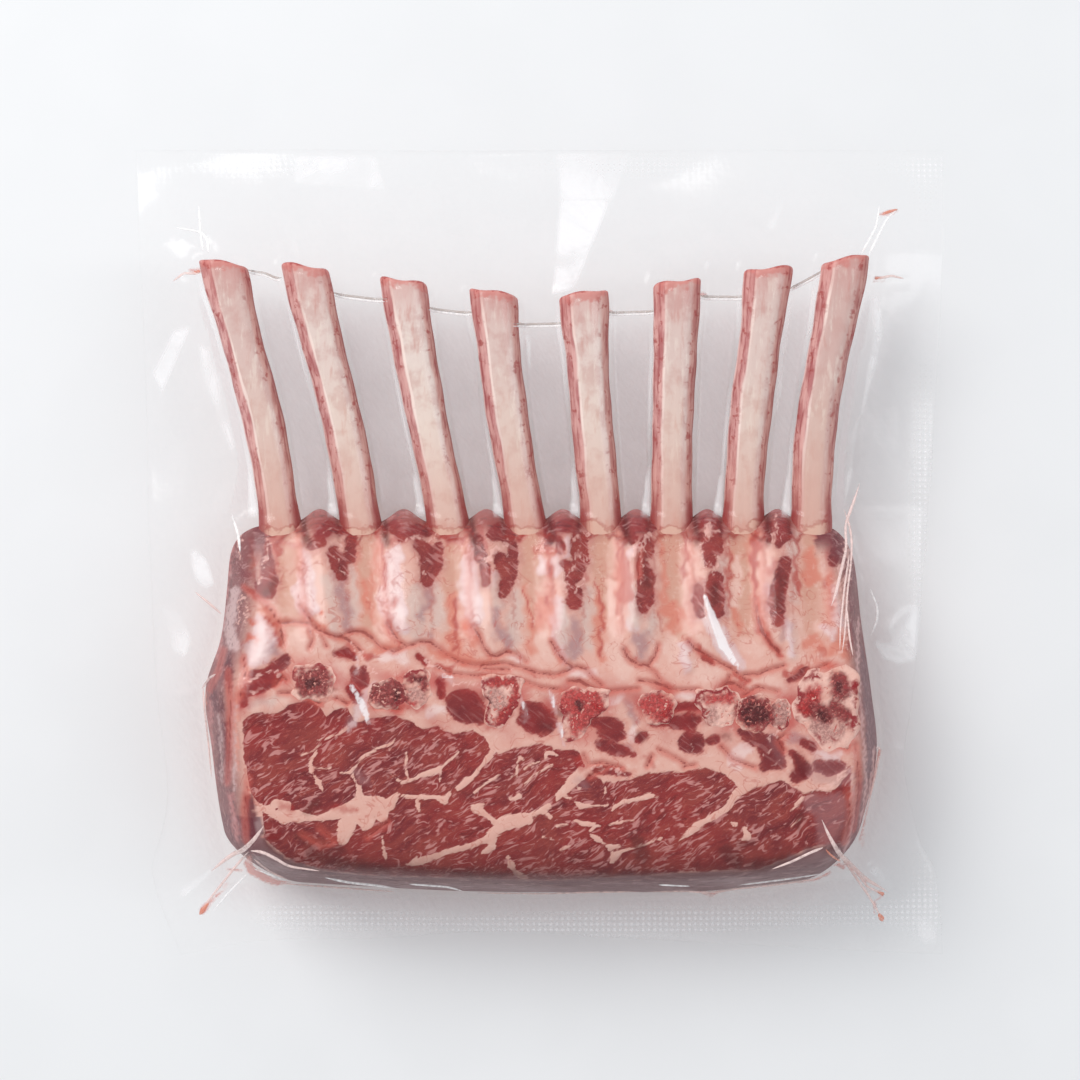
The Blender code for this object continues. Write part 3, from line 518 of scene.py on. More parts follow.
WASHES = [
    (MAUVE_SKIN, 1.2, .34, [
        [(84, -66, 3.4), (91, -67, 3.4)], [(83, -76, 3), (89, -78, 5.4), (87, -86, 3.4)],
        [(70.6, -56.6, 2), (73, -63, 1.4)], [(-58, -53, .9), (-55, -47, 1.4)],
        [(11.4, -68.8, 1.2), (14, -70.4, 1.2)], [(-56, -66, 1), (-53, -69, 1.4)],
    ]),
    (FRESH_BLOOD, 1, .5, [
        [(-41, -46.4, .8), (-38, -47.2, 1), (-35.4, -46, .7)], [(41, -46.8, 1.2), (48, -46.8, 1.1)],
        [(50.6, -43.8, .6), (59, -44, .8)], [(33, -51.4, 1), (39.6, -50.6, 1.5)],
        [(-62, -77, .9), (-56, -78, .8)], [(-77.4, -76.4, 1.2), (-75, -77.6, 1)],
        [(12, -62.4, 1), (12.8, -65, 1.2)], [(-60.4, -30.4, 1.5), (-57, -31, 1.4)],
        [(-36.4, -31.4, 1), (-34.4, -33.6, 1)], [(-84, -38, 2), (-80, -38, 1.2)],
        [(-30, -39, 1.2), (-29.4, -44, 1.2)], [(31.6, -61.4, .5), (34.6, -64.4, .6)],
        [(-16.6, -53, .6), (-12, -51.4, .9), (-8, -48.6, .7)], [(84, 6, 1.6), (87, 6.4, 2.2)],
    ]),
    (OLD_BLOOD, .9, .75, [
        [(85.4, 6, 1.4), (87.4, 6.8, 1.3)], [(-81.6, -86, .8), (-79, -86, 1.2)], [(85.6, 4.4, 1)] * 2,
        [(77.6, -65, 1), (80, -67, 1.2)],
    ]),
    # Painted shade, with a few dark spots: along the loin's lower edge, in the gaps at the rib roots and
    # round the cut bones.
    (SHADE_AND_DARK_SPOTS, 1.2, .6, [
        [(-69, -91, 2), (-60, -94, 1.8), (-50, -96, 1.6), (-38, -96.6, 1.5), (-20, -97.6, 1.4),
         (10, -98.6, 1.2), (34, -97.6, 1.2)], [(-68, -87.6, 1), (-63, -89.6, 1.2)],
        [(78, -62, 1.2), (79.6, -65.4, 1.8)], [(56.6, -90.6, 2.2), (59.6, -93.4, 2.2)],
        [(60.6, -88.2, .9), (64.4, -88, .8)], [(64, -94.6, 1.2), (70, -93.6, 1.4), (75, -92.6, 1.6)],
        [(29.4, -87, 1.8), (31, -92, 2.2)], [(-17.4, -44, 1.2), (-19, -45, .9)],
        [(5.4, -48, 1.2), (7.2, -49, 1.4)], [(50.8, -47.6, 1.2), (50.8, -50.4, 1.2)],
        [(55, -55.6, .7), (56.8, -55.7, .7)], [(30, -55.6, 1.1), (31.4, -56.6, .9)],
        [(0, -52, 1.3), (3, -53, 1)], [(44.4, -50.8, 1), (47, -50, .8)],
        [(-65.4, -42.4, 1), (-62.4, -41.2, .6)], [(46.4, -57.4, 1.2), (47, -57, .9)],
        [(-70, -78, 1.4), (-67.6, -75.6, 1.2)], [(79, -80, 1.2), (78, -83, 1)],
        [(31, 0, .8), (32.6, -10, 1.2)], [(-60.6, -5, .9), (-59.6, -7, .8)], [(26, 9, 1), (27.4, 5, .8)],
        [(53, -10, 1.2), (53, -15, 1.2)], [(73.6, -8, 1.2), (72.4, -16, 1.3)],
        [(.8, 10, 1.3), (3.4, 5.6, 1.2)], [(24, 13, .8), (24.6, 8, .8)], [(45.6, 15, 1), (46.4, 10, .8)],
        [(67, 15, 1.3), (66.6, 10, .8)], [(-48.4, 9, 1), (-46.6, 3, .8)], [(-72.6, 9.4, 1), (-69.8, 2.6, 1)],
        [(-22.4, 9, .8), (-20, 4.4, .8), (-19, 0, .5)], [(88.6, 15, 1.4), (87.8, 10, 1.2)],
        [(-83, -12, 1.6), (-80.6, -9, .9)], [(-72.6, -86, 1.4), (-60, -90, 1.2)],
    ]),
    # Painted highlight: streaks of glare on the film over the backbone.
    (LILAC_FAT_AND_HIGHLIGHT, .6, .7, [
        [(-50, -39.5, .5), (-52.4, -43, 1), (-53.6, -46.6, 1.9), (-55.4, -50, .9), (-58, -54, .4)],
        [(-6, -43.8, .5), (-4.4, -47.6, .8), (-4, -51, .4)],
        [(2.9, -41.8, .5), (3.8, -44, .9), (4.6, -48, .4)], [(5.9, -52, .5), (7, -55, .7), (7.6, -58, .4)],
        [(83.6, -60.4, .4), (87, -61.4, 1), (90.4, -62.6, .4)], [(53.4, -45, .4), (53.6, -52, .5)],
        [(-55, -31.6, .4), (-55.4, -36.8, .3)],
    ]),
]
CREASES = [
    [(-90, -10.5, .1), (-84, -15, .3), (-81, -18, .5), (-79, -21.4, .5), (-74, -21, .3), (-70, -21.4, .35),
     (-67, -23.4, .4), (-63, -25, .4), (-58.6, -26, .5), (-55.4, -28.4, .4), (-53, -31, .2)],
    [(-79, -21.4, .5), (-78, -25, .5), (-77.4, -28.4, .2)],
    [(-61, -25.4, .2), (-56.4, -23.8, .4), (-53, -24.2, .6), (-50.6, -26, .4), (-48, -28.6, .3),
     (-44, -30, .3), (-40.4, -28.6, .3), (-36, -27, .4), (-33, -27.2, .4), (-30.4, -29, .4),
     (-28, -31, .3), (-24, -33, .3), (-20, -34, .3), (-16, -34, .4), (-11, -33.4, .4), (-6, -34.6, .3),
     (0, -36.6, .35), (5, -37, .4), (8.6, -35.8, .4), (11.4, -34.5, .35), (14, -35.2, .3), (16.4, -38, .3),
     (19, -40.4, .3)], [(-72.6, -16, .2), (-70, -19.6, .35), (-67, -23, .3)],
    [(-69.6, -23.4, .3), (-68.6, -26, .3), (-69.6, -29, .25)], [(-66, -25, .25), (-64.4, -28.4, .2)],
    [(-46, -21.6, .5), (-44.4, -24.2, .4), (-42.4, -27, .4), (-40, -28.4, .3)],
    [(-20, -22.4, .4), (-18, -25.6, .5), (-17, -28.4, .3), (-15, -31, .4), (-12.8, -31.4, .5),
     (-10, -30, .4), (-7, -30.6, .3), (-4, -33, .2)],
    [(3.6, -27, .3), (6, -31, .4), (8, -33.4, .4), (10.4, -34.8, .3)],
    [(25.6, -29.4, .5), (27, -32, .5), (30, -34, .5), (33, -34, .4), (35, -31.4, .3), (36, -28, .2)],
    [(32.6, -34.2, .4), (35, -36.4, .3), (37, -39, .2)],
    [(45, -26.6, .4), (47, -29, .5), (50.6, -31, .4), (54, -33, .4), (58, -35, .4), (61, -37.4, .4),
     (63, -39, .3)],
    [(65.6, -14, .3), (66.2, -20, .5), (67.6, -24, .6), (70, -27.6, .5), (72.4, -30, .6), (73, -31.6, .2)],
    [(-31, -34.6, .3), (-26, -36.6, .3), (-19, -37.2, .3), (-10, -37.6, .3), (-5, -38.8, .3),
     (0, -40.6, .3), (6, -41.4, .3)], [(-25, -33.2, .2), (-16, -35.2, .3), (-9, -35.4, .3)],
    [(9, -38.8, .3), (12, -38.8, .6), (14.4, -40, .6), (18, -41.8, .4), (23, -41.8, .25), (30, -41, .2)],
    [(30, -38.6, .2), (35, -39.4, .5), (38, -40.4, .5), (40, -41.6, .3)], [(40, -41.4, .3), (48, -41.6, .3)],
    [(54, -41.6, .3), (57, -39.4, .7), (59, -39.6, .5), (62.4, -41.6, .4)],
    [(57, -39.4, .4), (57.6, -37.4, .4)], [(62, -37, .3), (66, -36.8, .4), (71, -35, .4), (74, -34.2, .3)],
    [(81.6, -36, .3), (84, -35.2, .3), (87.4, -33.6, .2)], [(62, -43, .2), (66, -40.6, .2), (72, -42, .2)],
    [(-78.4, -42.4, .3), (-74, -42.4, .3), (-70, -43.4, .35), (-66.6, -45.6, .35)],
    [(-61.6, -44, .3), (-58, -45.6, .4)], [(-49.6, -46.8, .3), (-44, -46.6, .35), (-42, -47.6, .4)],
    [(-79.6, -40, .4), (-78, -37.4, .4), (-76.4, -38.6, .3)],
    [(13.4, -61, .2), (15, -64, .3), (19, -63.4, .35), (24.6, -65, .3)],
    [(15, -67.6, .3), (20.6, -64.8, .2)], [(32.6, -64.6, .3), (34, -61.4, .4)],
    [(36, -59.4, .2), (41, -62, .3), (44, -63.8, .3)], [(55, -58.6, .3), (58.4, -62.4, .35), (65, -65, .3)],
    [(44, -64.6, .4), (47, -64.2, .2)],
    [(-66.6, -83, .2), (-62, -87.4, .3), (-66, -88.4, .3), (-72, -85, .2)],
    [(-46, -81.6, .2), (-52, -86, .25)],
    [(80.6, -51.6, .3), (84.6, -56, .5), (87, -57.6, .5), (91, -57, .6), (93, -59.4, .4)],
    [(74.4, -55, .3), (72, -56.6, .4), (74, -60, .3)], [(30, -7, .2), (30.4, 1, .3)],
    [(-1, .8, .4), (1.6, 1.2, .4), (4.4, .4, .3)], [(3, -6.4, .3), (3.2, -4.6, .4)],
    [(-43.8, -14, .2), (-44.4, -16, .2)], [(-96.6, -30, .3), (-98, -36, .4), (-101, -42, .3)],
    [(-89.6, -32, .4), (-89, -38, .5), (-90.6, -44, .3)],
    [(-94.6, -36, .3), (-93.6, -46, .4), (-94, -58, .4), (-95, -70, .3)],
    [(-88, -68, .3), (-89.4, -78, .4), (-89, -88, .3)], [(95.6, -58, .3), (96.8, -70, .4), (95.6, -84, .4)],
    [(93.6, -72, .2), (94, -80, .3), (92.6, -88, .3)],
]
PALE_LINES = [
    [(-82.4, 3.6, .3), (-83.6, -2, .3), (-84.8, -8, .3), (-87, -11.6, .2)],
    [(-65.6, 5.4, .15), (-64, 7.4, .2)], [(-61.6, 3, .2), (-58.8, -.4, .2)],
    [(-63.4, 0, .2), (-60.4, -3, .2)], [(-61.4, -4.4, .2), (-59, -6.8, .2)],
    [(-44, 3, .3), (-40, 4, .4), (-36.6, 4.6, .3)], [(-35.6, 1.6, .2), (-33, 4, .3), (-31.4, 5.4, .3)],
    [(-37.6, -1.8, .15), (-34.4, -3, .2)], [(-37, -5, .15), (-33.6, -6.6, .2)],
    [(-16, -2.4, .5), (-14.4, 0, .5), (-11.6, 1.4, .4), (-9.4, 3.4, .3)],
    [(-10.6, 0, .2), (-9, -3, .25), (-7.2, -5.6, .25)],
    [(-2, 0, .3), (-.6, 1.2, .35), (3, .6, .3), (5.4, -.6, .2)],
    [(10, 3.8, .3), (12.6, 5.6, .3), (15, 5.8, .3)], [(11.8, 2.4, .2), (11.6, 0, .2)],
    [(10, -1.4, .3), (12.6, -1, .3), (14.6, -2.6, .2)], [(7, -8, .25), (9.4, -5.6, .3), (10.4, -3.4, .25)],
    [(13.6, -6, .2), (13, -10, .3), (10.4, -12.4, .3), (8.6, -12, .2)],
    [(7.6, -9.6, .2), (10.4, -10.6, .25)], [(33.4, 5, .5), (30.6, 1.8, .5), (28, -.4, .6)],
    [(31.2, 1.6, .3), (31.4, -4, .25), (31, -9, .15)], [(52, 9.4, .3), (50.6, 5, .3), (49, 1.6, .2)],
    [(52, 8, .3), (52.4, 3, .2)], [(55.8, 6, .3), (52.6, 6, .2)],
    [(50.4, -3.4, .3), (53.6, -4, .3), (55, -1, .2)], [(52.6, -7.6, .2), (53.4, -5, .2)],
    [(72.6, 12, .3), (71.8, 7, .4), (70.8, 2.6, .2)], [(74.6, 6, .2), (71.6, 2.6, .25)],
    [(90.4, 14, .3), (92.4, 8, .3), (94, 0, .4), (92, -4, .5), (90.6, -10, .6), (89, -16, .5)],
    [(95.6, 6, .3), (95, 0, .35), (93.6, -10, .4), (92.4, -20, .3), (91.4, -30, .3)],
    [(94.8, -2, .3), (92.4, -12, .3), (90.6, -20, .25)], [(92.6, -16, .3), (93, -26, .3), (94.6, -31, .2)],
    [(-91, -12, .3), (-92, -22, .25)], [(-89.6, -14, .25), (-88.6, -24, .2)],
    [(-93.8, 10, .5), (-92, 4, .4), (-91.6, -2, .3)], [(-57, -27.6, .3), (-54, -30.6, .4), (-53.4, -32, .3)],
    [(-34, -33, .4), (-28, -36.6, .5)], [(-52.6, -34.6, .3), (-49.6, -36, .3)],
    [(-26, -39.6, .3), (-14, -39.4, .3), (-6, -41, .3)], [(14.8, -65.6, .3), (19, -65, .3), (25, -66.4, .3)],
    [(93, -64, .3), (91, -68, .3), (86.6, -71.4, .35), (82, -72.4, .3)],
    [(-88.6, -38.6, .3), (-82, -36, .4), (-79, -36.6, .3)], [(-86.6, -42.6, .25), (-83.6, -40, .3)],
    [(46, -59, .2), (47, -61, .2)], [(69, -57, .2), (71.6, -54.6, .25)], [(68, -61, .2), (70.6, -59, .2)],
    [(71, -64, .2), (73, -61.6, .2)],
]
print("tinted places:", sum(len(layer[-1]) for layer in FAT_TINTS + WASHES), "creases:", len(CREASES))

# %% [markdown]
# The meat is one closed shape. It starts as a flat square grid, as a pattern for it: the grid becomes the
# upper side, and its border is extruded down and scaled inwards, ring by ring, to make the underside. Only
# then is the pattern laid on the rules of the shape. Rows and columns crowd together on the steep walls,
# so that every face stays about as large as the others once it stands on its wall.

# %% A flat pattern for the meat
MEAT_COLUMNS, MEAT_ROWS = 372, 204
COLUMNS_ON_WALL, ROWS_ON_WALL = 32, 26
UNDER_RINGS = [0.996, 0.988, 0.977, 0.963, 0.945, 0.92, 0.89, 0.85, 0.79, 0.7, 0.55, 0.35, 0.15]


def deselect_all():
    if bpy.context.object and bpy.context.object.mode == "EDIT":
        bpy.ops.object.mode_set(mode="OBJECT")
    bpy.ops.object.select_all(action="DESELECT")


def places(piece):
    found = np.empty(len(piece.data.vertices) * 3)
    piece.data.vertices.foreach_get("co", found)
    return found.reshape(-1, 3)


def put(piece, x, y, z):
    """Moves every vertex of a piece to a place in mm."""
    piece.data.vertices.foreach_set("co", (np.column_stack([x, y, z]) * MM).ravel())
    piece.data.update()


def note(piece, name, values):
    """Keeps one number for each vertex, for the materials to read."""
    layer = piece.data.attributes.new(name, "FLOAT", "POINT")
    layer.data.foreach_set("value", np.asarray(values, dtype=np.float32))


deselect_all()
bpy.ops.mesh.primitive_grid_add(x_subdivisions=MEAT_COLUMNS, y_subdivisions=MEAT_ROWS, size=2)
meat = bpy.context.object
meat.name = meat.data.name = "rack_meat"
bpy.ops.object.mode_set(mode="EDIT")
bpy.ops.mesh.select_mode(type="EDGE")
bpy.ops.mesh.select_all(action="DESELECT")
bpy.ops.mesh.select_non_manifold()
bpy.ops.mesh.extrude_edges_move(TRANSFORM_OT_translate={"value": (0, 0, -1)})
for nearer, ring in zip([1.0, *UNDER_RINGS], UNDER_RINGS):
    bpy.ops.mesh.extrude_edges_move(TRANSFORM_OT_translate={"value": (0, 0, 0)})
    bpy.ops.transform.resize(value=(ring / nearer, ring / nearer, 1), center_override=(0, 0, -1))
bpy.ops.mesh.edge_face_add()
bpy.ops.mesh.quads_convert_to_tris()
bpy.ops.object.mode_set(mode="OBJECT")
print("pattern for the meat:", len(meat.data.vertices), "vertices")

# %% [markdown]
# To lay the pattern, each column and row gets a station: from -1 to 0 on the near wall, 0 to 1 on the face
# and 1 to 2 on the far wall. Where two walls meet, the pattern's square corner is drawn in to the rounded
# corner of the meat.

# %% Lay the pattern on the meat's plan
def wall_stations(width, height, count):
    """Stations from a wall's foot, 1, to the face, 0, at even steps along its curved profile."""
    share = np.linspace(1, 0, 500)
    rise = height * (1 - share**WALL_POWER)
    travelled = np.concatenate([[0], np.cumsum(np.hypot(np.diff(share) * width, np.diff(rise)))])
    return np.interp(np.linspace(0, travelled[-1], count + 1), travelled, share)


def stations(near_wall, far_wall, count, on_wall, heights):
    near = -wall_stations(near_wall, heights[0], on_wall)
    far = 1 + wall_stations(far_wall, heights[1], on_wall)[::-1]
    face = np.linspace(0, 1, count - 2 * on_wall + 1)
    return np.array([*near, *face[1:-1], *far])


def shares(station):
    return np.where(station < 0, -station, np.where(station > 1, station - 1, 0))


def meat_top(x):
    """The upper end of the meat: it reaches further up between two ribs than beside them."""
    return BLOCK_TOP - 4.5 + 4.5 * between_ribs(x, np.full_like(x, 10.0), 5.0)


def meat_plan(a, b, inset):
    columns = stations(WALL_LEFT, WALL_RIGHT, MEAT_COLUMNS, COLUMNS_ON_WALL, (34, 34))
    rows = stations(WALL_BOTTOM, WALL_TOP, MEAT_ROWS, ROWS_ON_WALL, (34, 12))
    across = np.interp(a, np.linspace(-1, 1, MEAT_COLUMNS + 1), columns)
    lengthwise = np.interp(b, np.linspace(-1, 1, MEAT_ROWS + 1), rows)
    side, end = shares(across), shares(lengthwise)
    power = np.where(lengthwise > 0.5, SHOULDER_POWER, CORNER_POWER)
    rounded = np.maximum((side**power + end**power) ** (1 / power), 1e-9)
    draw_in = np.where((side > 0) | (end > 0), np.maximum(side, end) / rounded, 1)
    side, end = side * draw_in, end * draw_in
    x, y = np.zeros_like(a), np.full_like(a, -45.0)
    for _ in range(6):
        left, right = along(BLOCK_LEFT, y) + inset, along(BLOCK_RIGHT, y) - inset
        bottom, top = along(BLOCK_BOTTOM, x) + inset, meat_top(x) - inset
        x = np.where(across < 0, left + WALL_LEFT * (1 - side), np.where(
            across > 1, right - WALL_RIGHT * (1 - side),
            left + WALL_LEFT + (right - left - WALL_LEFT - WALL_RIGHT) * across))
        y = np.where(lengthwise < 0, bottom + WALL_BOTTOM * (1 - end), np.where(
            lengthwise > 1, top - WALL_TOP * (1 - end),
            bottom + WALL_BOTTOM + (top - bottom - WALL_TOP - WALL_BOTTOM) * lengthwise))
    return x, y, np.clip((side**power + end**power) ** (1 / power), 0, 1)


# %% [markdown]
# The upper side then gets its relief. Lean sits a little lower than the fat around it, because it shrinks as
# it cools; the firm, lilac-white fat swells up, together with the painted highlight its strokes carry, and a
# narrow groove runs along every crease.

# %% Raise the meat to its heights
MEAT_BELOW_FILM = 0.9
UNDER_POWER, UNDER_RISE = 2.6, 15.0
FAT_SWELLS, LEAN_SINKS, CREASE_SINKS = 0.8, 0.25, 0.9
LILAC_AND_HIGHLIGHT_STROKES = FAT_TINTS[3][-1]


def loin_depth(x, y):
    """How deep a point lies inside the loin's lean, in mm."""
    upper = np.interp(x, *zip(*LOIN_UPPER_BORDER)) - y
    lower = y - np.interp(x, *zip(*LOIN_LOWER_BORDER))
    return np.minimum(np.minimum(upper, lower), np.minimum(x + 89.6, 94.0 - x))


def lean_depth(x, y):
    islands = np.maximum(stroke_depth(x, y, CHINE_LEAN) + 0.2, stroke_depth(x, y, RIB_SIDE_LEAN) + 0.4)
    return np.maximum(np.minimum(loin_depth(x, y), -stroke_depth(x, y, FAT_SEAMS) + 0.1), islands)


def meat_upper(x, y, outward):
    sheet = sheet_height(x, y)
    relief = FAT_SWELLS * smooth_step(-1.5, 1.5, stroke_depth(x, y, LILAC_AND_HIGHLIGHT_STROKES))
    relief = relief - LEAN_SINKS * smooth_step(-0.6, 0.6, lean_depth(x, y))
    relief = relief - CREASE_SINKS * smooth_step(-0.7, 0.5, stroke_depth(x, y, CREASES))
    face = block_upper(x, y) - MEAT_BELOW_FILM + relief
    return sheet + 0.3 + (face - sheet - 0.3) * (1 - outward**WALL_POWER)


def under_height(y):
    """The underside: flat below the loin, and rising towards the ribs."""
    return UNDER_RISE * smooth_step(-22.0, 13.0, y)


def meat_under(x, y, outward):
    sheet = sheet_height(x, y)
    return sheet - 0.3 + (under_height(y) + 0.7 - sheet + 0.3) * (1 - outward**UNDER_POWER)


pattern = places(meat)
on_top = pattern[:, 2] > -0.5
x, y, outward = meat_plan(pattern[:, 0], pattern[:, 1], 0.7)
z = np.where(on_top, meat_upper(x, y, outward), meat_under(x, y, outward))
put(meat, x, y, z)
print("meat:", np.round(np.ptp(np.column_stack([x, y, z]), axis=0), 1), "mm")

# %% [markdown]
# Now the tissues are noted on the mesh: how deep each point lies in lean, in a crease or in a pale line, and
# the painted tints. A small irregular push on the places keeps the painted borders from looking drawn. The
# washes also paint shade: darker towards the loin's lower edge and in the gaps beside the rib roots. Down the
# walls a grey-mauve membrane with darker strands covers the meat, and the underside is a cap of fat.

# %% Note the tissues on the meat
def wander(x, y, reach=0.55):
    """The places, pushed about by up to a millimetre or so, in an irregular way."""
    push_x = np.sin(1.3 * x + 0.7 * y) + 0.7 * np.sin(2.9 * y - 1.1 * x + 1)
    push_y = np.sin(1.1 * y - 0.9 * x + 3) + 0.7 * np.sin(2.7 * x + 1.3 * y)
    push_x = push_x + 0.5 * np.sin(4.7 * x + 2.3 * y + 2)
    push_y = push_y + 0.5 * np.sin(4.3 * y - 3.1 * x)
    return x + reach * push_x * 0.6, y + reach * push_y * 0.6


def coat(painted_so_far, coats):
    """Lays coats of paint, each a colour and its mask, over the colours and the cover so far."""
    colour, cover = painted_so_far
    for coat_colour, mask in coats:
        mask = np.clip(mask, 0, 1)
        total = mask + cover * (1 - mask)
        share = np.where(total > 0, mask / np.maximum(total, 1e-6), 0)[:, None]
        colour, cover = colour * (1 - share) + np.array(coat_colour[:3]) * share, total
    return colour, cover


def paint(painted_so_far, x, y, layers):
    """Paints strokes: each layer is a colour, its border's softness in mm, its strength and strokes."""
    coats = []
    for colour, soft, strength, strokes in layers:
        coats.append((colour, smooth_step(-soft, soft, stroke_depth(x, y, strokes)) * strength))
    return coat(painted_so_far, coats)


def plain_coat(colour, cover, count):
    """One even colour for every vertex, to paint on."""
    return np.tile(np.array(colour[:3]), (count, 1)), np.full(count, float(cover))


def note_colour(piece, name, colour, cover):
    """Keeps a colour and how much it covers for each vertex, for the materials to read."""
    layer = piece.data.color_attributes.new(name, "FLOAT_COLOR", "POINT")
    layer.data.foreach_set("color", np.column_stack([colour, cover]).astype(np.float32).ravel())


LEFT_WALL_STRANDS = [
    (LILAC_FAT_AND_HIGHLIGHT, .8, .6, [
        [(-93, -12, 1.5), (-95, -22, 2), (-93, -28, 2)], [(-92.4, -46, .4), (-92.6, -72, .5)],
        [(-97.4, -50, .4), (-97, -70, .4)],
    ]),
    (srgb(186, 118, 116), .8, .8, [
        [(-94.4, 4, .8), (-96.4, -8, 1.3), (-98, -20, 1.2), (-99, -32, 1)],
        [(-100.6, -44, .8), (-101, -60, .8), (-100, -80, .7)], [(-94, -74, 1), (-92, -88, .8)],
    ]),
    (srgb(98, 30, 42), .5, .9, [
        [(-94.6, -31, .8), (-94.6, -36, 1.5), (-93.8, -41, .8)],
        [(-99.6, -39, .9), (-99.4, -44, 1.4), (-98, -47.6, .8)], [(-96.6, -43, .5), (-96.4, -48, .9)],
        [(-95.4, -52, .8), (-95, -60, .9), (-94.6, -68, .6)],
        [(-88, -74, 1.4), (-87.4, -80, 2), (-87.4, -86, 1.2)], [(-98, -55, .4), (-98, -66, .5)],
    ]),
    (srgb(214, 140, 124), .5, .7, [
        [(-103, -41, .5), (-102.6, -60, .4), (-101, -80, .4)],
        [(-91, -38, .4), (-91.4, -48, .4), (-91.6, -66, .4)],
    ]),
]
RIGHT_WALL_STRANDS = [
    (srgb(120, 80, 86), .9, .9, [
        [(98.4, -29, .5), (99.8, -38, 1.6), (101.4, -50, 2.4), (101.4, -60, 2.2), (100.6, -68, 1)],
        [(97.6, -70, .6), (97.6, -84, .6)],
    ]),
    (srgb(206, 160, 156), .5, .9, [
        [(97.4, -20, .5), (96.6, -38, .5), (98, -56, .5), (99.4, -72, .5), (98, -86, .4)],
        [(102.4, -60, .5), (101.6, -70, .6), (99.6, -82, .4)],
        [(94.4, -66, .5), (95.4, -80, .5), (93, -92, .4)],
    ]),
    (srgb(120, 70, 76), .5, .8, [
        [(96, -66, .4), (96.6, -76, .5), (95.4, -86, .4)],
    ]),
]

NO_TISSUE = -6.0
wall = np.where(on_top, outward, 1.0)
wander_x, wander_y = wander(x, y)
lean = np.where(on_top & (wall < 0.9), lean_depth(x, y), NO_TISSUE)
note(meat, "lean", lean)
pale_depth = stroke_depth(*wander(x, y, 0.9), PALE_LINES)
for name, depth in (("crease", stroke_depth(x, y, CREASES)), ("pale_line", pale_depth)):
    note(meat, name, np.where(on_top, np.maximum(depth, NO_TISSUE), NO_TISSUE))
note(meat, "loin", smooth_step(-1.0, 1.0, loin_depth(x, y)) * on_top)
note(meat, "wall", smooth_step(0.4, 0.7, wall) * on_top)

fat = plain_coat(PEACH_FAT, 1, len(x))
bands = sum(hump(x - rib_line(rib, y), 3.6) for rib in RIBS) * smooth_step(-32, -22, y)
slow_x, slow_y = (2.5 * part for part in wander(0.4 * x, 0.4 * y, 0.4))
fat = paint(coat(fat, [(TAN_RIB, bands * 0.8)]), slow_x, slow_y, FAT_TINTS)
under_skin = smooth_step(-30, -18, y) * (1 - smooth_step(6, 9, y))
for rib in RIBS:
    beside_rib = wander_x - rib_line(rib, y)
    red_line = 0.55 * hump(beside_rib - 6.2, 0.5) * (0.6 + 0.4 * np.sin(y / 3.3 + rib[0]))
    red_line = red_line + 0.4 * hump(beside_rib + 5.8, 0.4)
    flushed = hump(beside_rib - 5.6, 1.6) * 0.5
    fat = coat(fat, [(SALMON_FLUSH, flushed * under_skin), (RED_EDGE, red_line * under_skin)])
by_ribs = stroke_depth(wander_x, wander_y, RIB_SIDE_LEAN)
by_spine = stroke_depth(wander_x, wander_y, CHINE_LEAN)
fat = coat(fat, [
    (PEACH_FAT, 1.0 * ~on_top),
    (MAUVE_HALO, smooth_step(-3.2, 0.4, by_ribs) * 0.6),
    (PINK_HALO, smooth_step(-2.2, 0.2, by_spine) * 0.4),
])
for corners in CHINE_BONES:
    centre = np.mean(corners, axis=0)
    radius = np.mean(np.hypot(*(np.array(corners) - centre).T))
    from_bone = np.hypot(wander_x - centre[0], wander_y - centre[1]) / radius
    uneven = 0.5 + 0.5 * np.sin(3 * np.arctan2(y - centre[1], x - centre[0]) + centre[0])
    fat = coat(fat, [(BLOOD_HALO, smooth_step(1.75, 1.05, from_bone) * uneven * 0.75)])
note_colour(meat, "fat_tint", *fat)

washes = paint(plain_coat(MAUVE_SKIN, 0, len(x)), wander_x, wander_y, WASHES)
patches = 0.5 + 0.5 * np.sin(x / 3.1 + 2 * np.sin(x / 7.0)) * np.sin(y / 2.6 + x / 5.0)
torn_meat = smooth_step(3.0, 8.0, y + 1.5 * np.sin(x / 2.2)) * between_ribs(x, y, 9.0)
# Painted shade in the gaps beside each rib root.
root_shade = sum(hump(x - rib_line(rib, y) - 7.4, 1.1) for rib in RIBS[:-1]) * smooth_step(0, 5, y)
root_shade += sum(hump(x - rib_line(rib, y) + 7.0, 0.7) for rib in RIBS) * smooth_step(2, 6, y) * 0.6
washes = coat(washes, [
    # Painted shade: darker towards the loin's lower edge, where the face rounds down to the wall.
    (SHADE_AND_DARK_SPOTS, smooth_step(-82, -97, y) * 0.4),
    (SAWN_RED, hump(y + 46 + 0.035 * x, 9.0) * patches**2 * 0.75),
    (CRIMSON, smooth_step(-0.4, 1.2, by_spine) * 0.5),
    (TORN_RED, torn_meat * 0.85),
    (SHADE_AND_DARK_SPOTS, root_shade * 0.75),
])
for rib in RIBS:
    torn_y = 5.6 + 1.6 * np.sin(0.5 * (x - 3 * rib[0])) + 0.8 * np.sin(1.1 * x + rib[0])
    torn_y = torn_y + 0.5 * np.sin(2.3 * x)
    torn = hump(y - torn_y, 0.8) * smooth_step(8.6, 7.2, np.abs(x - rib_line(rib, y)))
    washes = coat(washes, [(TORN_LINE, torn * 0.8)])
from_border = np.interp(x, *zip(*LOIN_LOWER_BORDER)) - y
below = smooth_step(-0.3, 0.5, from_border) * (y < -80)
strand = 0.5 + 0.5 * np.sin(y / 1.9 + 0.06 * x + 1.2 * np.sin(x / 9.0))
beside = smooth_step(0.3, 0.75, wall) * (np.abs(x) > 84) * (y > -92)
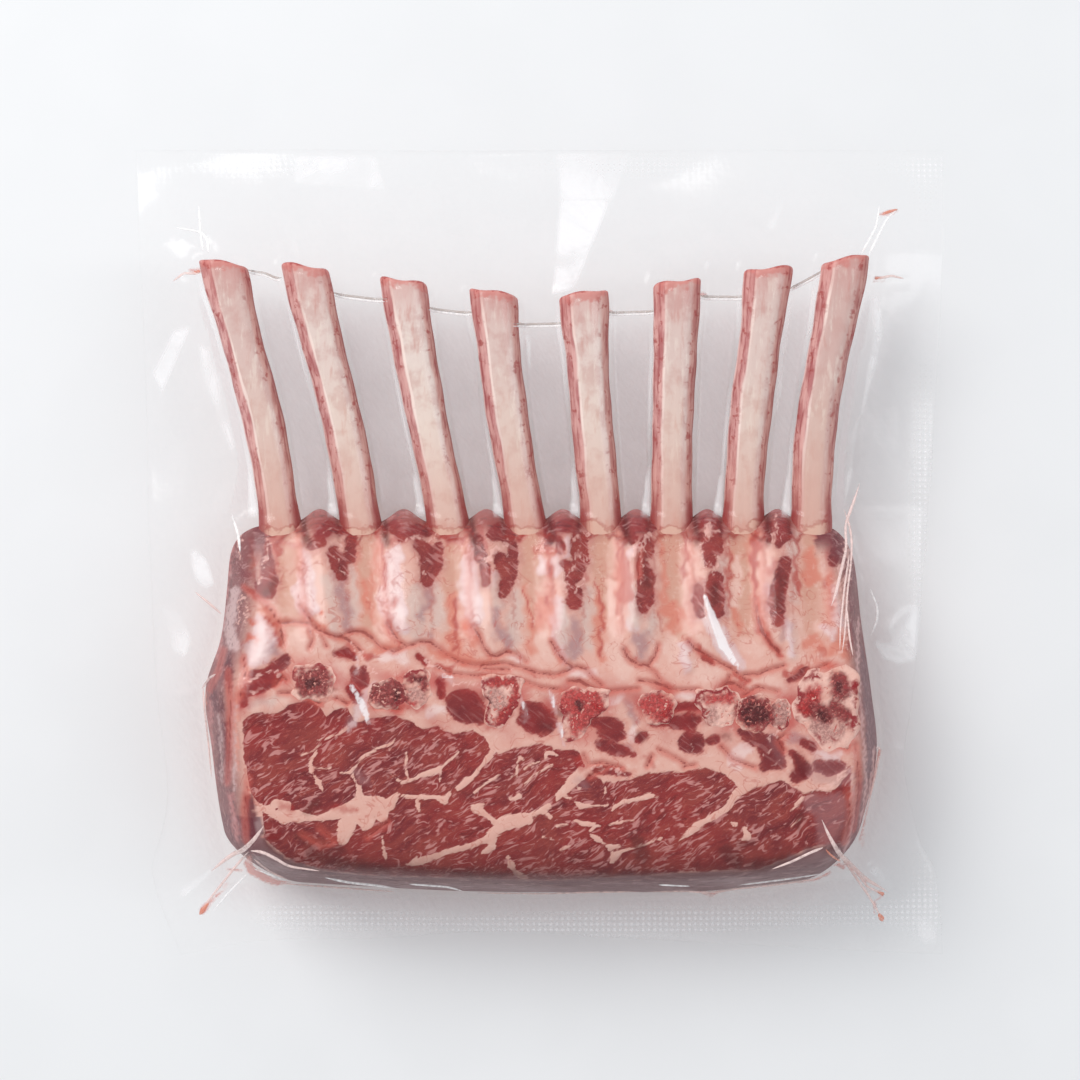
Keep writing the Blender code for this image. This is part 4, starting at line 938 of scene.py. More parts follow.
washes = coat(washes, [
    (WALL_SKIN, below * 0.92),
    (WALL_STRAND, below * strand * 0.45),
    (UNDER_EDGE, below * hump(from_border - 1.2, 1.5) * 0.8),
    (SIDE_SKIN, beside * 0.9),
])
washes = paint(washes, wander_x, wander_y, LEFT_WALL_STRANDS + RIGHT_WALL_STRANDS)
note_colour(meat, "wash", washes[0], washes[1] * on_top)
meat.data.shade_smooth()
print("lean covers", round(100 * float(np.mean(lean[on_top] > 0))), "% of the upper side")

# %% [markdown]
# A French-trimmed rib is a flat bone, scraped clean, a little wider at its cut tip, where red marrow
# shows. One rib is modelled straight, from a circle that is extruded along its length and drawn in at the
# tip, with the marrow inset. The eight real ribs are copies of it, each with its own mesh, bent along
# their own lines.

# %% One straight rib
RIB_SIDES, RIB_SECTIONS = 32, 74
RIB_START = -9.0
# The rings of the tip: their size and their step along the bone. The last four sink into the marrow.
TIP_RINGS = ((0.97, 0.006), (0.89, 0.005), (0.78, 0.002), (0.7, 0.0),
             (0.62, -0.008), (0.5, -0.01), (0.25, -0.004))


def straight_bar(sides, sections):
    """A round bar of radius 1 and length 1 along Y, left in edit mode with its far end selected."""
    deselect_all()
    upright = (math.pi / 2, 0, 0)
    bpy.ops.mesh.primitive_circle_add(vertices=sides, radius=1, fill_type="NGON", rotation=upright)
    bpy.ops.object.transform_apply(location=False, rotation=True, scale=False)
    bpy.ops.object.mode_set(mode="EDIT")
    bpy.ops.mesh.select_all(action="SELECT")
    for _ in range(sections):
        bpy.ops.mesh.extrude_region_move(TRANSFORM_OT_translate={"value": (0, 1 / sections, 0)})
    return bpy.context.object


rib_pattern = straight_bar(RIB_SIDES, RIB_SECTIONS)
last = 1.0
for size, step in TIP_RINGS:
    bpy.ops.mesh.extrude_region_move(TRANSFORM_OT_translate={"value": (0, step, 0)})
    bpy.ops.transform.resize(value=(size / last, 1, size / last), center_override=(0, 1, 0))
    last = size
bpy.ops.object.mode_set(mode="OBJECT")
print("straight rib:", len(rib_pattern.data.polygons), "faces")

# %% [markdown]
# Each copy is bent and sized: the section is flattened from a circle to a rounded bar, widens a little and
# unevenly along its length, and has the shallow groove that runs down the inner side of a lamb's rib. The
# saw cuts the tips along one curve, so each tip is cut at a slant.

# %% Bend the eight ribs
RIB_SECTION_POWER = 2.5
BONE_HALF_HEIGHT = 4.5
TIP_SLANTS = (-0.16, -0.16, -0.14, -0.16, 0.14, 0.12, 0.1, 0.2)
BONE_TONES = (0.3, 0.75, 0.95, 0.5, 0.8, 0.5, 0.55, 0.05)
BONE_INSET = 0.05
SAWN_BACK = 1.6

straight = places(rib_pattern)
ring_size = np.maximum(np.hypot(straight[:, 0], straight[:, 2]), 1e-6)
turned = straight[:, [0, 2]] / ring_size[:, None]
squared = (np.abs(turned) ** RIB_SECTION_POWER).sum(axis=1) ** (1 / RIB_SECTION_POWER)
section_x, section_z = straight[:, 0] / squared, straight[:, 2] / squared
ribs = []
for number, (rib, slant, tone) in enumerate(zip(RIBS, TIP_SLANTS, BONE_TONES), 1):
    piece = rib_pattern.copy()
    piece.data = rib_pattern.data.copy()
    piece.name = piece.data.name = f"rib_{number}"
    bpy.context.scene.collection.objects.link(piece)
    rib_y = RIB_START + (rib[1] - SAWN_BACK - RIB_START) * straight[:, 1]
    uneven = 1 + 0.022 * np.sin(rib_y / 7.1 + 2 * number)
    uneven = uneven + 0.014 * np.sin(rib_y / 2.3 + number + 2 * section_x)
    knuckle = 0.09 * (1 - smooth_step(4, 18, rib_y))
    half = (bone_half(rib, rib_y) - BONE_INSET) * (uneven + knuckle)
    groove = 0.5 * smooth_step(0.5, 0.8, np.abs(section_x + 0.05)) - 0.45 * hump(section_x + 0.45, 0.1)
    rib_z = rib_height(rib, rib_y) + BONE_HALF_HEIGHT * section_z - groove * (section_z > 0.2)
    rib_x = rib_line(rib, rib_y) + half * section_x
    saw_line = slant * half * section_x + 0.35 * np.sin(4 * section_x + 1.7 * number)
    rib_y = rib_y + saw_line * smooth_step(0.8, 1.0, straight[:, 1])
    put(piece, rib_x, rib_y, rib_z)
    note(piece, "across", section_x)
    note(piece, "upward", section_z)
    note(piece, "from_tip", rib[1] - rib_y + slant * (rib_x - rib_line(rib, rib_y)))
    note(piece, "from_root", rib_y - RIB_ROOT + 3.0)
    note(piece, "sawn", (straight[:, 1] > 0.999) * (1 - smooth_step(0.55, 0.86, ring_size)))
    note(piece, "tone", np.full(len(straight), tone))
    piece.data.shade_smooth()
    ribs.append(piece)
bpy.data.objects.remove(rib_pattern)
print("ribs:", [round(rib[1] - RIB_ROOT) for rib in RIBS], "mm out of the meat")

# %% [markdown]
# Along the backbone the saw has gone through the vertebrae, and the cut faces show spongy bone. Each is a
# shallow slab with an outline of its own: a square grid, given its thickness by an extrusion, drawn out to
# that outline, laid on the meat's upper side and pitted by a Displace modifier with a cloud texture.
# Marrow isn't even either: some faces have bled dark, some are salmon or grey, so their tints are painted
# like the meat's.

# %% Cut faces of the backbone
CREAM_BONE, GREY_BONE, SALMON_BONE = srgb(228, 180, 166), srgb(200, 150, 140), srgb(186, 54, 54)
RED_MARROW, DARK_MARROW, BLACK_MARROW = srgb(172, 36, 36), srgb(136, 34, 38), srgb(84, 14, 20)
MARROW_TINTS = [
    (SALMON_BONE, 1.2, .95, [
        [(10, -45.2, 4.2), (15, -45.4, 4.5), (12, -50.4, 3.2), (10.6, -53.6, 1.7)],
        [(33.6, -45.6, 3.7), (37, -46.8, 4), (35.4, -49.6, 1.9)], [(51.6, -44.2, 1.7), (58, -43.8, 1.6)],
        [(79.8, -46.4, 2.5), (82.2, -43.4, 2.5), (84.4, -41, 1.4)],
        [(-41.6, -45.6, 1.2), (-37.6, -45.8, 1.1)],
    ]),
    (DARK_MARROW, .9, .95, [
        [(-71.4, -37.6, 2.2), (-66.2, -37.4, 3), (-65.6, -40.6, 2.5), (-70.2, -41.4, 2.6),
         (-71.2, -39.4, 2.5)], [(-49, -42.8, 3.2), (-44, -42.6, 4.7)],
        [(-38.6, -37.8, 1.6), (-35.4, -38.2, 1.4), (-34.6, -41, 1.2)],
        [(61.4, -48, 2.2), (64, -48, 5), (67.8, -48.6, 4.5)], [(83.6, -47.6, 3), (85.8, -50, 3.2)],
        [(90.4, -38.8, 3), (91, -42, 3)], [(89, -46.6, 2.2), (91.8, -49, 2.5)],
        [(72.2, -47.4, 1.2), (73.6, -51.4, 1.3)],
    ]),
    (GREY_BONE, 1, .9, [
        [(-13.4, -43.2, 2.5), (-11.4, -46.6, 2.6)], [(73.2, -46.4, 2.2), (73.6, -50, 2.2)],
        [(-38, -42.6, 1.9), (-35.6, -44, 1.8)], [(84.4, -53.8, 3), (88.6, -55.6, 2.2), (91.6, -53, 1.7)],
        [(51.8, -48.6, 1.8), (52.4, -50.6, 1.4)],
    ]),
    (RED_MARROW, .7, .95, [
        [(-15.6, -39.6, 1.2), (-11, -38.8, 1.6), (-7.6, -39.6, 1.6), (-6.6, -42.4, 1.7),
         (-8.4, -46.8, 1.6), (-11.8, -50.6, 1.8)], [(79.2, -47.2, 1.7), (80.6, -48.4, 1.2)],
        [(82, -42.6, 1.2), (83.6, -44.6, .9)], [(16.4, -45.6, .9), (18.6, -47.8, 1.2)],
        [(37.8, -49.4, .9), (39.4, -47, .8)],
    ]),
    (BLACK_MARROW, .6, .9, [
        [(61.8, -47.8, 1.4), (64.6, -46.8, 1.9), (67.2, -49.4, 2.2)],
        [(63.4, -50.6, 1.3), (65.4, -50.2, 1.1)], [(11.8, -45.6, 1.1), (12.6, -47, .8)],
        [(-16.4, -43.6, .8), (-15.6, -45.4, .9)], [(84.6, -48.8, 1.4), (86.4, -49.8, 1.2)],
        [(-69.8, -39.8, 1.3), (-67.2, -39.2, 1.1)], [(-43.2, -44.2, 1.2), (-42.8, -41.6, .8)],
        [(90.6, -40.4, 1.2), (91, -41.4, .9)], [(-37.6, -38.4, .7), (-36, -38.6, .7)],
    ]),
]
CHINE_STEPS = 34
CHINE_DEPTH = 2.4
CHINE_SPREAD = 1.2
PIT_SIZE, PIT_DEPTH = 0.9 * MM, 0.9 * MM

spongy = bpy.data.textures.new("spongy_bone", "CLOUDS")
spongy.noise_scale, spongy.noise_depth = PIT_SIZE, 2
chine_bones = []
for number, corners in enumerate(CHINE_BONES, 1):
    deselect_all()
    bpy.ops.mesh.primitive_grid_add(x_subdivisions=CHINE_STEPS, y_subdivisions=CHINE_STEPS, size=2)
    piece = bpy.context.object
    piece.name = piece.data.name = f"chine_bone_{number}"
    bpy.ops.object.mode_set(mode="EDIT")
    bpy.ops.mesh.select_all(action="SELECT")
    bpy.ops.mesh.extrude_region_move(TRANSFORM_OT_translate={"value": (0, 0, 1)})
    bpy.ops.mesh.select_all(action="SELECT")
    bpy.ops.mesh.normals_make_consistent()
    bpy.ops.object.mode_set(mode="OBJECT")
    square = places(piece)
    centre = np.mean(corners, axis=0)
    spokes = np.array(corners) - centre
    order = np.argsort(np.arctan2(spokes[:, 1], spokes[:, 0]))
    angles, reach = np.arctan2(spokes[order, 1], spokes[order, 0]), np.hypot(*spokes[order].T)
    angles, reach = np.concatenate([angles - 2 * np.pi, angles, angles + 2 * np.pi]), np.tile(reach, 3)
    at = np.arctan2(square[:, 1], square[:, 0])
    out = np.max(np.abs(square[:, :2]), axis=1)
    edge = along(list(zip(angles, reach)), at)
    edge = edge * (CHINE_SPREAD + 0.07 * np.sin(5 * at + number) + 0.04 * np.sin(11 * at))
    x, y = centre[0] + out * edge * np.cos(at), centre[1] + out * edge * np.sin(at)
    proud = 0.25 * (1 - smooth_step(0.8, 1.0, out)) - 0.55 * smooth_step(0.9, 1.0, out)
    top = block_upper(x, y) - MEAT_BELOW_FILM + proud
    z = np.where(square[:, 2] > 0.5, top, block_upper(x, y) - MEAT_BELOW_FILM - CHINE_DEPTH)
    put(piece, x, y, z)
    note(piece, "rim", out)
    note_colour(piece, "marrow", *paint(plain_coat(CREAM_BONE, 0, len(x)), *wander(x, y), MARROW_TINTS))
    upper_face = piece.vertex_groups.new(name="sawn_face")
    for index in np.nonzero((square[:, 2] > 0.5) & (out < 0.86))[0]:
        upper_face.add([int(index)], 1.0, "REPLACE")
    pits = piece.modifiers.new("pits", "DISPLACE")
    pits.texture, pits.texture_coords, pits.vertex_group = spongy, "LOCAL", "sawn_face"
    pits.direction, pits.strength, pits.mid_level = "Z", PIT_DEPTH, 0.62
    bpy.ops.object.modifier_apply(modifier="pits")
    piece.data.shade_smooth()
    chine_bones.append(piece)
print("cut faces of the backbone:", len(chine_bones))

# %% [markdown]
# The pouch is two plies of film pressed together by the air outside. It clings to the meat and the bones
# and lies flat between them, so it's modelled as one closed shell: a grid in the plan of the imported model,
# extruded once, whose lower side lies under the rack and whose upper side is drawn over it. Rows follow
# the rib tips and columns follow the ribs, so the film's steep little slopes beside each bone get faces of
# their own.

# %% The film's plan
RIB_STEPS = (-1.0, -0.68, 0.0, 0.68, 1.0)
COLUMNS_ON_RIB = (3, 4, 4, 3)
MARGIN_COLUMNS, FILM_WALL_COLUMNS, GAP_COLUMNS = 12, 20, 8
STATION_ROWS = (14, 17, 24, 24, 32, 18, 26, 8, 22)
SHOULDER_LINE, LOIN_EDGE, LUMP_LINE, SHAFT_LINE = -90.0, -54.0, -24.0, 40.0


def mound_half(rib, y):
    return bone_half(rib, y) + FILM_STAND_OFF


def guide_lines(y):
    """X of each guide line at y, from the pouch's left edge to its right edge."""
    left, right = along(POUCH_LEFT, y), along(POUCH_RIGHT, y)
    first = rib_line(RIBS[0], y) - mound_half(RIBS[0], y)
    last = rib_line(RIBS[-1], y) + mound_half(RIBS[-1], y)
    out = smooth_step(BLOCK_TOP - 4, SHAFT_LINE, y)
    foot_left = along(BLOCK_LEFT, y) * (1 - out) + (left + 0.4 * (first - left)) * out
    foot_right = along(BLOCK_RIGHT, y) * (1 - out) + (right + 0.4 * (last - right)) * out
    lines = [left, foot_left]
    for rib in RIBS:
        lines += [rib_line(rib, y) + step * mound_half(rib, y) for step in RIB_STEPS]
    return lines + [foot_right, right]


def fan_grid():
    """Plan positions of the film's rows and columns, as two arrays x and y."""
    on_ribs = ([*COLUMNS_ON_RIB, GAP_COLUMNS] * len(RIBS))[:-1]
    counts = [MARGIN_COLUMNS, FILM_WALL_COLUMNS, *on_ribs, FILM_WALL_COLUMNS, MARGIN_COLUMNS]
    steps = np.array([0, *np.cumsum(STATION_ROWS)])
    straight_lines = [SHOULDER_LINE, LOIN_EDGE, LUMP_LINE, BLOCK_TOP, SHAFT_LINE]
    plain = [-POUCH_HALF, -105.5, *straight_lines, 80.0, 91.0, POUCH_HALF]
    grid_x, grid_y = [], []
    for row in range(steps[-1] + 1):
        lines, row_x = guide_lines(np.interp(row, steps, plain)), []
        for start, end, columns in zip(lines, lines[1:], counts):
            row_x += list(np.linspace(start, end, columns, endpoint=False))
        row_x = np.array([*row_x, lines[-1]])
        curves = [along(POUCH_BOTTOM, row_x), along(BLOCK_BOTTOM, row_x)]
        curves += [np.full_like(row_x, line) for line in straight_lines]
        curves += [tip_line(row_x) - RIB_END_ROUND, tip_line(row_x) + FILM_STAND_OFF]
        curves += [np.full_like(row_x, POUCH_HALF)]
        share = [np.interp(row, steps, np.arange(len(steps)) == i) for i in range(len(steps))]
        grid_x.append(row_x)
        grid_y.append(sum(part * curve for part, curve in zip(share, curves)))
    return np.array(grid_x), np.array(grid_y)


plan_x, plan_y = fan_grid()
print("film plan:", plan_x.shape[1], "columns and", plan_x.shape[0], "rows")

# %% [markdown]
# The film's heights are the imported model's own rules. On top of them go the things that only thin film
# does: slow waves along the edges, folds that run from the corners of the meat and the outer ribs to the
# corners of the pouch, long pleats beside the outer ribs, and fine puckers that spread from each rib tip.

# %% The film's heights
FILM_FOLDS = [
    [(-98, -97, .3), (-104, -103, 1.4), (-112, -108, 1.2), (-117, -112, .3)],
    [(-92, -100, .3), (-99, -107, 1), (-106, -114, .5)],
    [(95, -98, .3), (101, -104, 1.4), (108, -110, 1.2), (113, -113, .4)],
    [(97, -92, .3), (106, -100, 1), (113, -106, .4)], [(-97, 92, 1), (-101, 98, 1), (-107, 104, .3)],
    [(-98, 90, .8), (-106, 94, 1), (-111, 96, .3)], [(-101, 84, .6), (-108, 82, .9), (-113, 84, .3)],
    [(96, 92, 1), (100, 98, 1.3), (104, 104, 1), (105, 109, .3)],
    [(102, 100, .8), (109, 103, .8), (112, 105, .3)], [(99, 84, .6), (106, 82, 1), (113, 83, .3)],
    [(-100, 2, .3), (-106, 8, .9), (-108, 16, .3)], [(-99, -10, .3), (-107, -6, .9), (-112, -5, .3)],
    [(101, -30, .4), (107, -24, 1), (113, -18, .3)], [(102, -58, .4), (108, -60, .8), (112, -62, .3)],
    [(-103, -42, .4), (-110, -44, .8), (-115, -44, .3)], [(54, -103, .4), (52, -110, .9), (50, -116, .4)],
]
# The pleats beside the outer ribs: distance from the bone, half width and height.
SIDE_PLEATS = ((5.5, 2.0, 0.5), (11.0, 2.6, 0.45), (16.0, 3.0, 0.6))
CREASE_CLING = 0.45


def film_relief(x, y):
    away = rack_distance(x, y)
    free = smooth_step(1.0, 12.0, away)
    waves = 0.14 * np.sin(x / 11.3 + 0.6 * np.sin(y / 17.0)) * np.sin(y / 14.7 + 0.05 * x)
    waves = waves + 0.06 * np.sin(x / 7.7 - y / 9.1)
    folded = smooth_step(-0.9, 0.9, stroke_depth(x, y, FILM_FOLDS)) * smooth_step(0, 2, away)
    relief = free * waves + 0.6 * folded
    for rib, outer in ((RIBS[0], -1), (RIBS[-1], 1)):
        beside = outer * (x - rib_line(rib, y)) - mound_half(rib, y)
        fade = smooth_step(14, 34, y) * (1 - smooth_step(74, 92, y))
        for reach, width, rise in SIDE_PLEATS:
            relief = relief + rise * hump(beside - reach * (1 + 0.15 * np.sin(y / 14)), width) * fade
    for rib in RIBS:
        past_x, past_y = x - rib[0], y - rib[1] + 3.0
        distance = np.hypot(past_x, past_y)
        turn = np.arctan2(past_x, past_y)
        puckers = np.sin(11 * turn + rib[0]) + 0.6 * np.sin(19 * turn + 2 * rib[0])
        relief = relief + 0.05 * puckers * smooth_step(7, 11, distance) * np.exp(-distance / 11)
    return relief


def mound(rib, x, y):
    across = np.clip((x - rib_line(rib, y)) / mound_half(rib, y), -1, 1)
    past_tip = np.clip((y - rib[1] + RIB_END_ROUND) / (RIB_END_ROUND + FILM_STAND_OFF), 0, 1)
    return np.where(y > RIB_INSIDE, (1 - np.abs(across) ** RIB_POWER) * (1 - past_tip**RIB_POWER), 0.0)


def film_upper(x, y):
    sheet = sheet_height(x, y) + film_relief(x, y) + 0.5
    top = sheet
    for rib in RIBS:
        rise = rib_height(rib, y) + RIB_HALF_HEIGHT - sheet
        top = np.maximum(top, sheet + rise * mound(rib, x, y))
    clinging = CREASE_CLING * smooth_step(-0.9, 0.5, stroke_depth(x, y, CREASES))
    block = sheet + (block_upper(x, y) - clinging - sheet) * (1 - block_outward(x, y) ** WALL_POWER)
    return np.where(block > sheet, soft_max(top, block, FILM_FILLET), top)


def film_lower(x, y):
    sheet = sheet_height(x, y) + film_relief(x, y) - 0.5
    bottom = sheet
    for rib in RIBS:
        drop = sheet - rib_height(rib, y) + RIB_HALF_HEIGHT
        bottom = np.minimum(bottom, sheet - drop * mound(rib, x, y))
    under = sheet + (under_height(y) - sheet) * (1 - block_outward(x, y, 0.6) ** UNDER_POWER)
    return np.minimum(bottom, under)


deselect_all()
row_count, column_count = plan_x.shape
bpy.ops.mesh.primitive_grid_add(x_subdivisions=column_count - 1, y_subdivisions=row_count - 1, size=1)
film = bpy.context.object
film.name = film.data.name = "film"
put(film, plan_x.ravel(), plan_y.ravel(), np.zeros(plan_x.size))
bpy.ops.object.mode_set(mode="EDIT")
bpy.ops.mesh.select_all(action="SELECT")
bpy.ops.mesh.extrude_region_move(TRANSFORM_OT_translate={"value": (0, 0, 1)})
bpy.ops.mesh.select_all(action="SELECT")
bpy.ops.mesh.normals_make_consistent()
bpy.ops.object.mode_set(mode="OBJECT")
flat = places(film)
x, y = flat[:, 0] / MM, flat[:, 1] / MM
z = np.where(flat[:, 2] > 0.5, film_upper(x, y), film_lower(x, y))
put(film, x, y, z)
film.data.shade_smooth()
print("film:", len(film.data.polygons), "faces")

# %% [markdown]
# Sharp creases, the threads of film between the rib tips and the small gathered tubes at the corners are
# finer than the film's own mesh. Each thread is drawn twice: a grey line of painted shadow and a white line
# of painted highlight beside it. Each is a straight bar with fewer sides than the ribs, copied, tapered, laid
# along its own line on the film and joined to the others in one piece.

# %% Creases and threads of the film
CLEAR_WHITE, THREAD_SHADOW_GREY = srgb(248, 246, 245), srgb(196, 186, 180)
JUICE_ORANGE, PINK_FILM = srgb(222, 140, 116), srgb(236, 208, 202)
CREASE_SIDES, CREASE_SECTIONS = 8, 28
FILM_CREASES = [
    (CLEAR_WHITE, [(-101.4, 91.5, .4), (-101.8, 96, .5), (-104, 98.4, .4), (-112, 99.8, .2)]),
    (CLEAR_WHITE, [(-103, 92, .3), (-104, 98, .4), (-105, 107, .2)]),
    (PINK_FILM, [(-104, 85.4, .4), (-109, 85.6, .4), (-112.6, 83, .2)]),
    (CLEAR_WHITE, [(98.4, 91, .4), (103.4, 100, .4), (104.6, 107, .2)]),
    (CLEAR_WHITE, [(100.6, 90.6, .4), (106.4, 102, .4), (110, 105.6, .3)]),
    (PINK_FILM, [(103, 83.8, .4), (108, 84.8, .4), (112, 84, .2)]),
    (PINK_FILM, [(-83, -82, .3), (-86, -86.5, .6), (-90, -90.4, .8), (-96, -94, .6), (-101.6, -98.6, .3)]),
    (PINK_FILM, [(-88, -90.4, .3), (-93, -96, .4), (-99, -103.6, .4), (-104.4, -110.4, .3)]),
    (CLEAR_WHITE, [(-90, -99, .3), (-96, -105, .3), (-101, -111, .2)]),
    (PINK_FILM, [(-88, -90.4, .5), (-84, -90.4, .5), (-80, -92.4, .5), (-76, -95, .4), (-66, -96.6, .2)]),
    (PINK_FILM, [(-87, -93, .2), (-82, -97.6, .3), (-77, -100, .2)]),
    (CLEAR_WHITE, [(-88, -97.6, .3), (-82, -99, .3), (-78, -100.6, .2)]),
    (CLEAR_WHITE, [(-65.6, -98.8, .3), (-58, -100.8, .4), (-50, -101.8, .4), (-43, -103.2, .2)]),
    (CLEAR_WHITE, [(-40, -101, .3), (-28, -102, .3), (-23, -104, .2)]),
    (PINK_FILM, [(-80, -102, .2), (-66, -103, .3), (-44, -104.6, .2)]),
    (PINK_FILM, [(-20, -104.6, .2), (2, -105, .2), (14, -104.2, .3), (32, -103.8, .2)]),
    (PINK_FILM, [(32, -104, .2), (48, -103.6, .3), (52.6, -105.6, .4), (57, -103.4, .3), (74, -102, .3),
     (88, -99.6, .3)]), (CLEAR_WHITE, [(36, -101, .3), (46, -101.6, .2)]),
    (PINK_FILM, [(85, -80, .3), (87.6, -86, .5), (91, -91.6, .8), (95.6, -96, .8), (100, -100.4, .6),
     (108, -105, .3)]), (PINK_FILM, [(94, -95, .4), (98, -101, .4), (101.6, -106, .4), (105.4, -112.6, .3)]),
    (PINK_FILM, [(97, -97.6, .4), (101, -103, .3), (106, -105.4, .4)]),
    (JUICE_ORANGE, [(86.4, -89.6, .2), (88, -91.4, .3), (92.6, -95, .3)]),
    (PINK_FILM, [(86, -89, .5), (82, -90.6, .4), (76, -93.6, .4), (70, -96, .2)]),
    (CLEAR_WHITE, [(60, -101.6, .2), (76, -99.6, .3), (86, -98, .2)]),
    (PINK_FILM, [(98.4, 22, .2), (95.8, 14, .5), (93.4, 8, .4), (94, 2, .4), (91.6, -6, .5),
     (89.6, -14, .5), (88, -17, .2)]),
    (PINK_FILM, [(93, 14, .3), (95.8, 6, .4), (95.4, -2, .3), (93.6, -12, .3), (92.6, -24, .3),
     (91.4, -31, .2)]), (PINK_FILM, [(94.8, 0, .3), (92.8, -10, .3), (91.2, -22, .3), (90.8, -30, .2)]),
    (PINK_FILM, [(93.2, -16, .3), (94, -26, .3), (95, -31.6, .2)]),
    (CLEAR_WHITE, [(101.4, -11, .2), (103.8, -17, .4), (103.6, -21, .4), (101.6, -26, .2)]),
    (PINK_FILM, [(102.2, -59.6, .4), (105.2, -60.2, .5), (103.6, -66, .4), (101, -76, .3)]),
    (CLEAR_WHITE, [(-94.4, 12, .3), (-92, 5, .5), (-91.4, 0, .3)]),
    (PINK_FILM, [(-106, -12, .2), (-101, -16, .4), (-97.6, -19, .3)]),
    (PINK_FILM, [(-104, -42, .3), (-101, -38.4, .4), (-98.6, -37, .3)]),
    (PINK_FILM, [(-103.6, -41, .3), (-102.4, -54, .3), (-101, -70, .2)]),
    (JUICE_ORANGE, [(-102, -108, .3), (-104, -110.6, .8), (-105, -112, .3)]),
    (JUICE_ORANGE, [(104, -104.6, .3), (106.4, -105.6, .6)]),
    (JUICE_ORANGE, [(104.6, -111.4, .4), (105.6, -113, .9), (106, -114, .4)]),
    (JUICE_ORANGE, [(105, 103.8, .2), (107, 104.6, .5), (110.4, 105.6, .3)]),
    (JUICE_ORANGE, [(-103.8, 86, .5), (-106, 86, .3)]), (JUICE_ORANGE, [(102.6, 84, .5), (105, 84.2, .3)]),
]
THREADS = [
    [(-89.5, 86.4, .3), (-84, 85.6, .35), (-81, 84.2, .35), (-78.6, 84, .3)],
    [(-64, 79.6, .35), (-60, 78.8, .35), (-50, 77.6, .35), (-46, 77.4, .35)],
    [(-35, 75, .35), (-31, 74.4, .35), (-24, 73.6, .35), (-19.5, 73.4, .35)],
    [(-8.4, 69.8, .35), (8.4, 70.2, .35)], [(20, 73.4, .35), (36.5, 73.9, .35)],
    [(48.6, 78.4, .4), (64, 78.2, .35)], [(76, 80.4, .35), (87.6, 86.6, .35)],
]


def lay_along(bar, line, lift):
    """Lays a copy of the straight bar on the film, along a line of (x, y, radius)."""
    line = np.array(line)
    travelled = np.concatenate([[0], np.cumsum(np.hypot(*np.diff(line[:, :2], axis=0).T))])
    at = bar[:, 1] * travelled[-1]
    reach = 0.06 * travelled[-1]
    behind, here, ahead = (
        np.array([np.interp(at + step, travelled, part) for part in line.T])
        for step in (-reach, 0, reach))
    x, y, radius = (behind + here + ahead) / 3
    way_x, way_y = (ahead - behind)[:2]
    length = np.maximum(np.hypot(way_x, way_y), 1e-6)
    radius = radius * np.clip(6 * np.minimum(bar[:, 1], 1 - bar[:, 1]) + 0.15, 0, 1)
    side, rise = bar[:, 0] * radius, 0.6 * bar[:, 2] * radius
    return x - side * way_y / length, y + side * way_x / length, film_upper(x, y) + lift + rise


crease_pattern = straight_bar(CREASE_SIDES, CREASE_SECTIONS)
bpy.ops.object.mode_set(mode="OBJECT")
bar = places(crease_pattern)
creases = []
# Painted light on the threads: each grey thread is painted shadow, and a white copy 0.75 mm beside it is
# painted highlight.
thread_highlights = [(CLEAR_WHITE, [(x, y - 0.75, radius) for x, y, radius in line]) for line in THREADS]
for fold_tint, line in FILM_CREASES + [(THREAD_SHADOW_GREY, line) for line in THREADS] + thread_highlights:
    piece = crease_pattern.copy()
    piece.data = crease_pattern.data.copy()
    bpy.context.scene.collection.objects.link(piece)
    put(piece, *lay_along(bar, line, 0.1))
    note_colour(piece, "fold_tint", *plain_coat(fold_tint, 1, len(bar)))
    piece.data.shade_smooth()
    creases.append(piece)
bpy.data.objects.remove(crease_pattern)
deselect_all()
for piece in creases:
    piece.select_set(True)
film_creases = bpy.context.view_layer.objects.active = creases[0]
bpy.ops.object.join()
bpy.ops.object.mode_set(mode="EDIT")
bpy.ops.mesh.select_all(action="SELECT")
bpy.ops.mesh.normals_make_consistent()
bpy.ops.object.mode_set(mode="OBJECT")
film_creases.name = film_creases.data.name = "film_creases"
print("creases and threads:", len(creases), "of", len(film_creases.data.polygons), "faces in all")

# %% [markdown]
# Clear film isn't evenly clear, and light and shade are painted on it. Where its two plies are drawn tight
# between the ribs and around the foot of the meat it carries a grey-mauve veil of painted shade. Beside each
# bone it shows a pale line of painted highlight, with a white triangle at the bone's root, and painted glare
# lies in flat, straight-edged panels and in streaks over the meat. All of this is noted on the mesh, and so
# is where the embossed diamonds aren't pressed flat, and the bands at the border where their studs are
# painted white as glints.

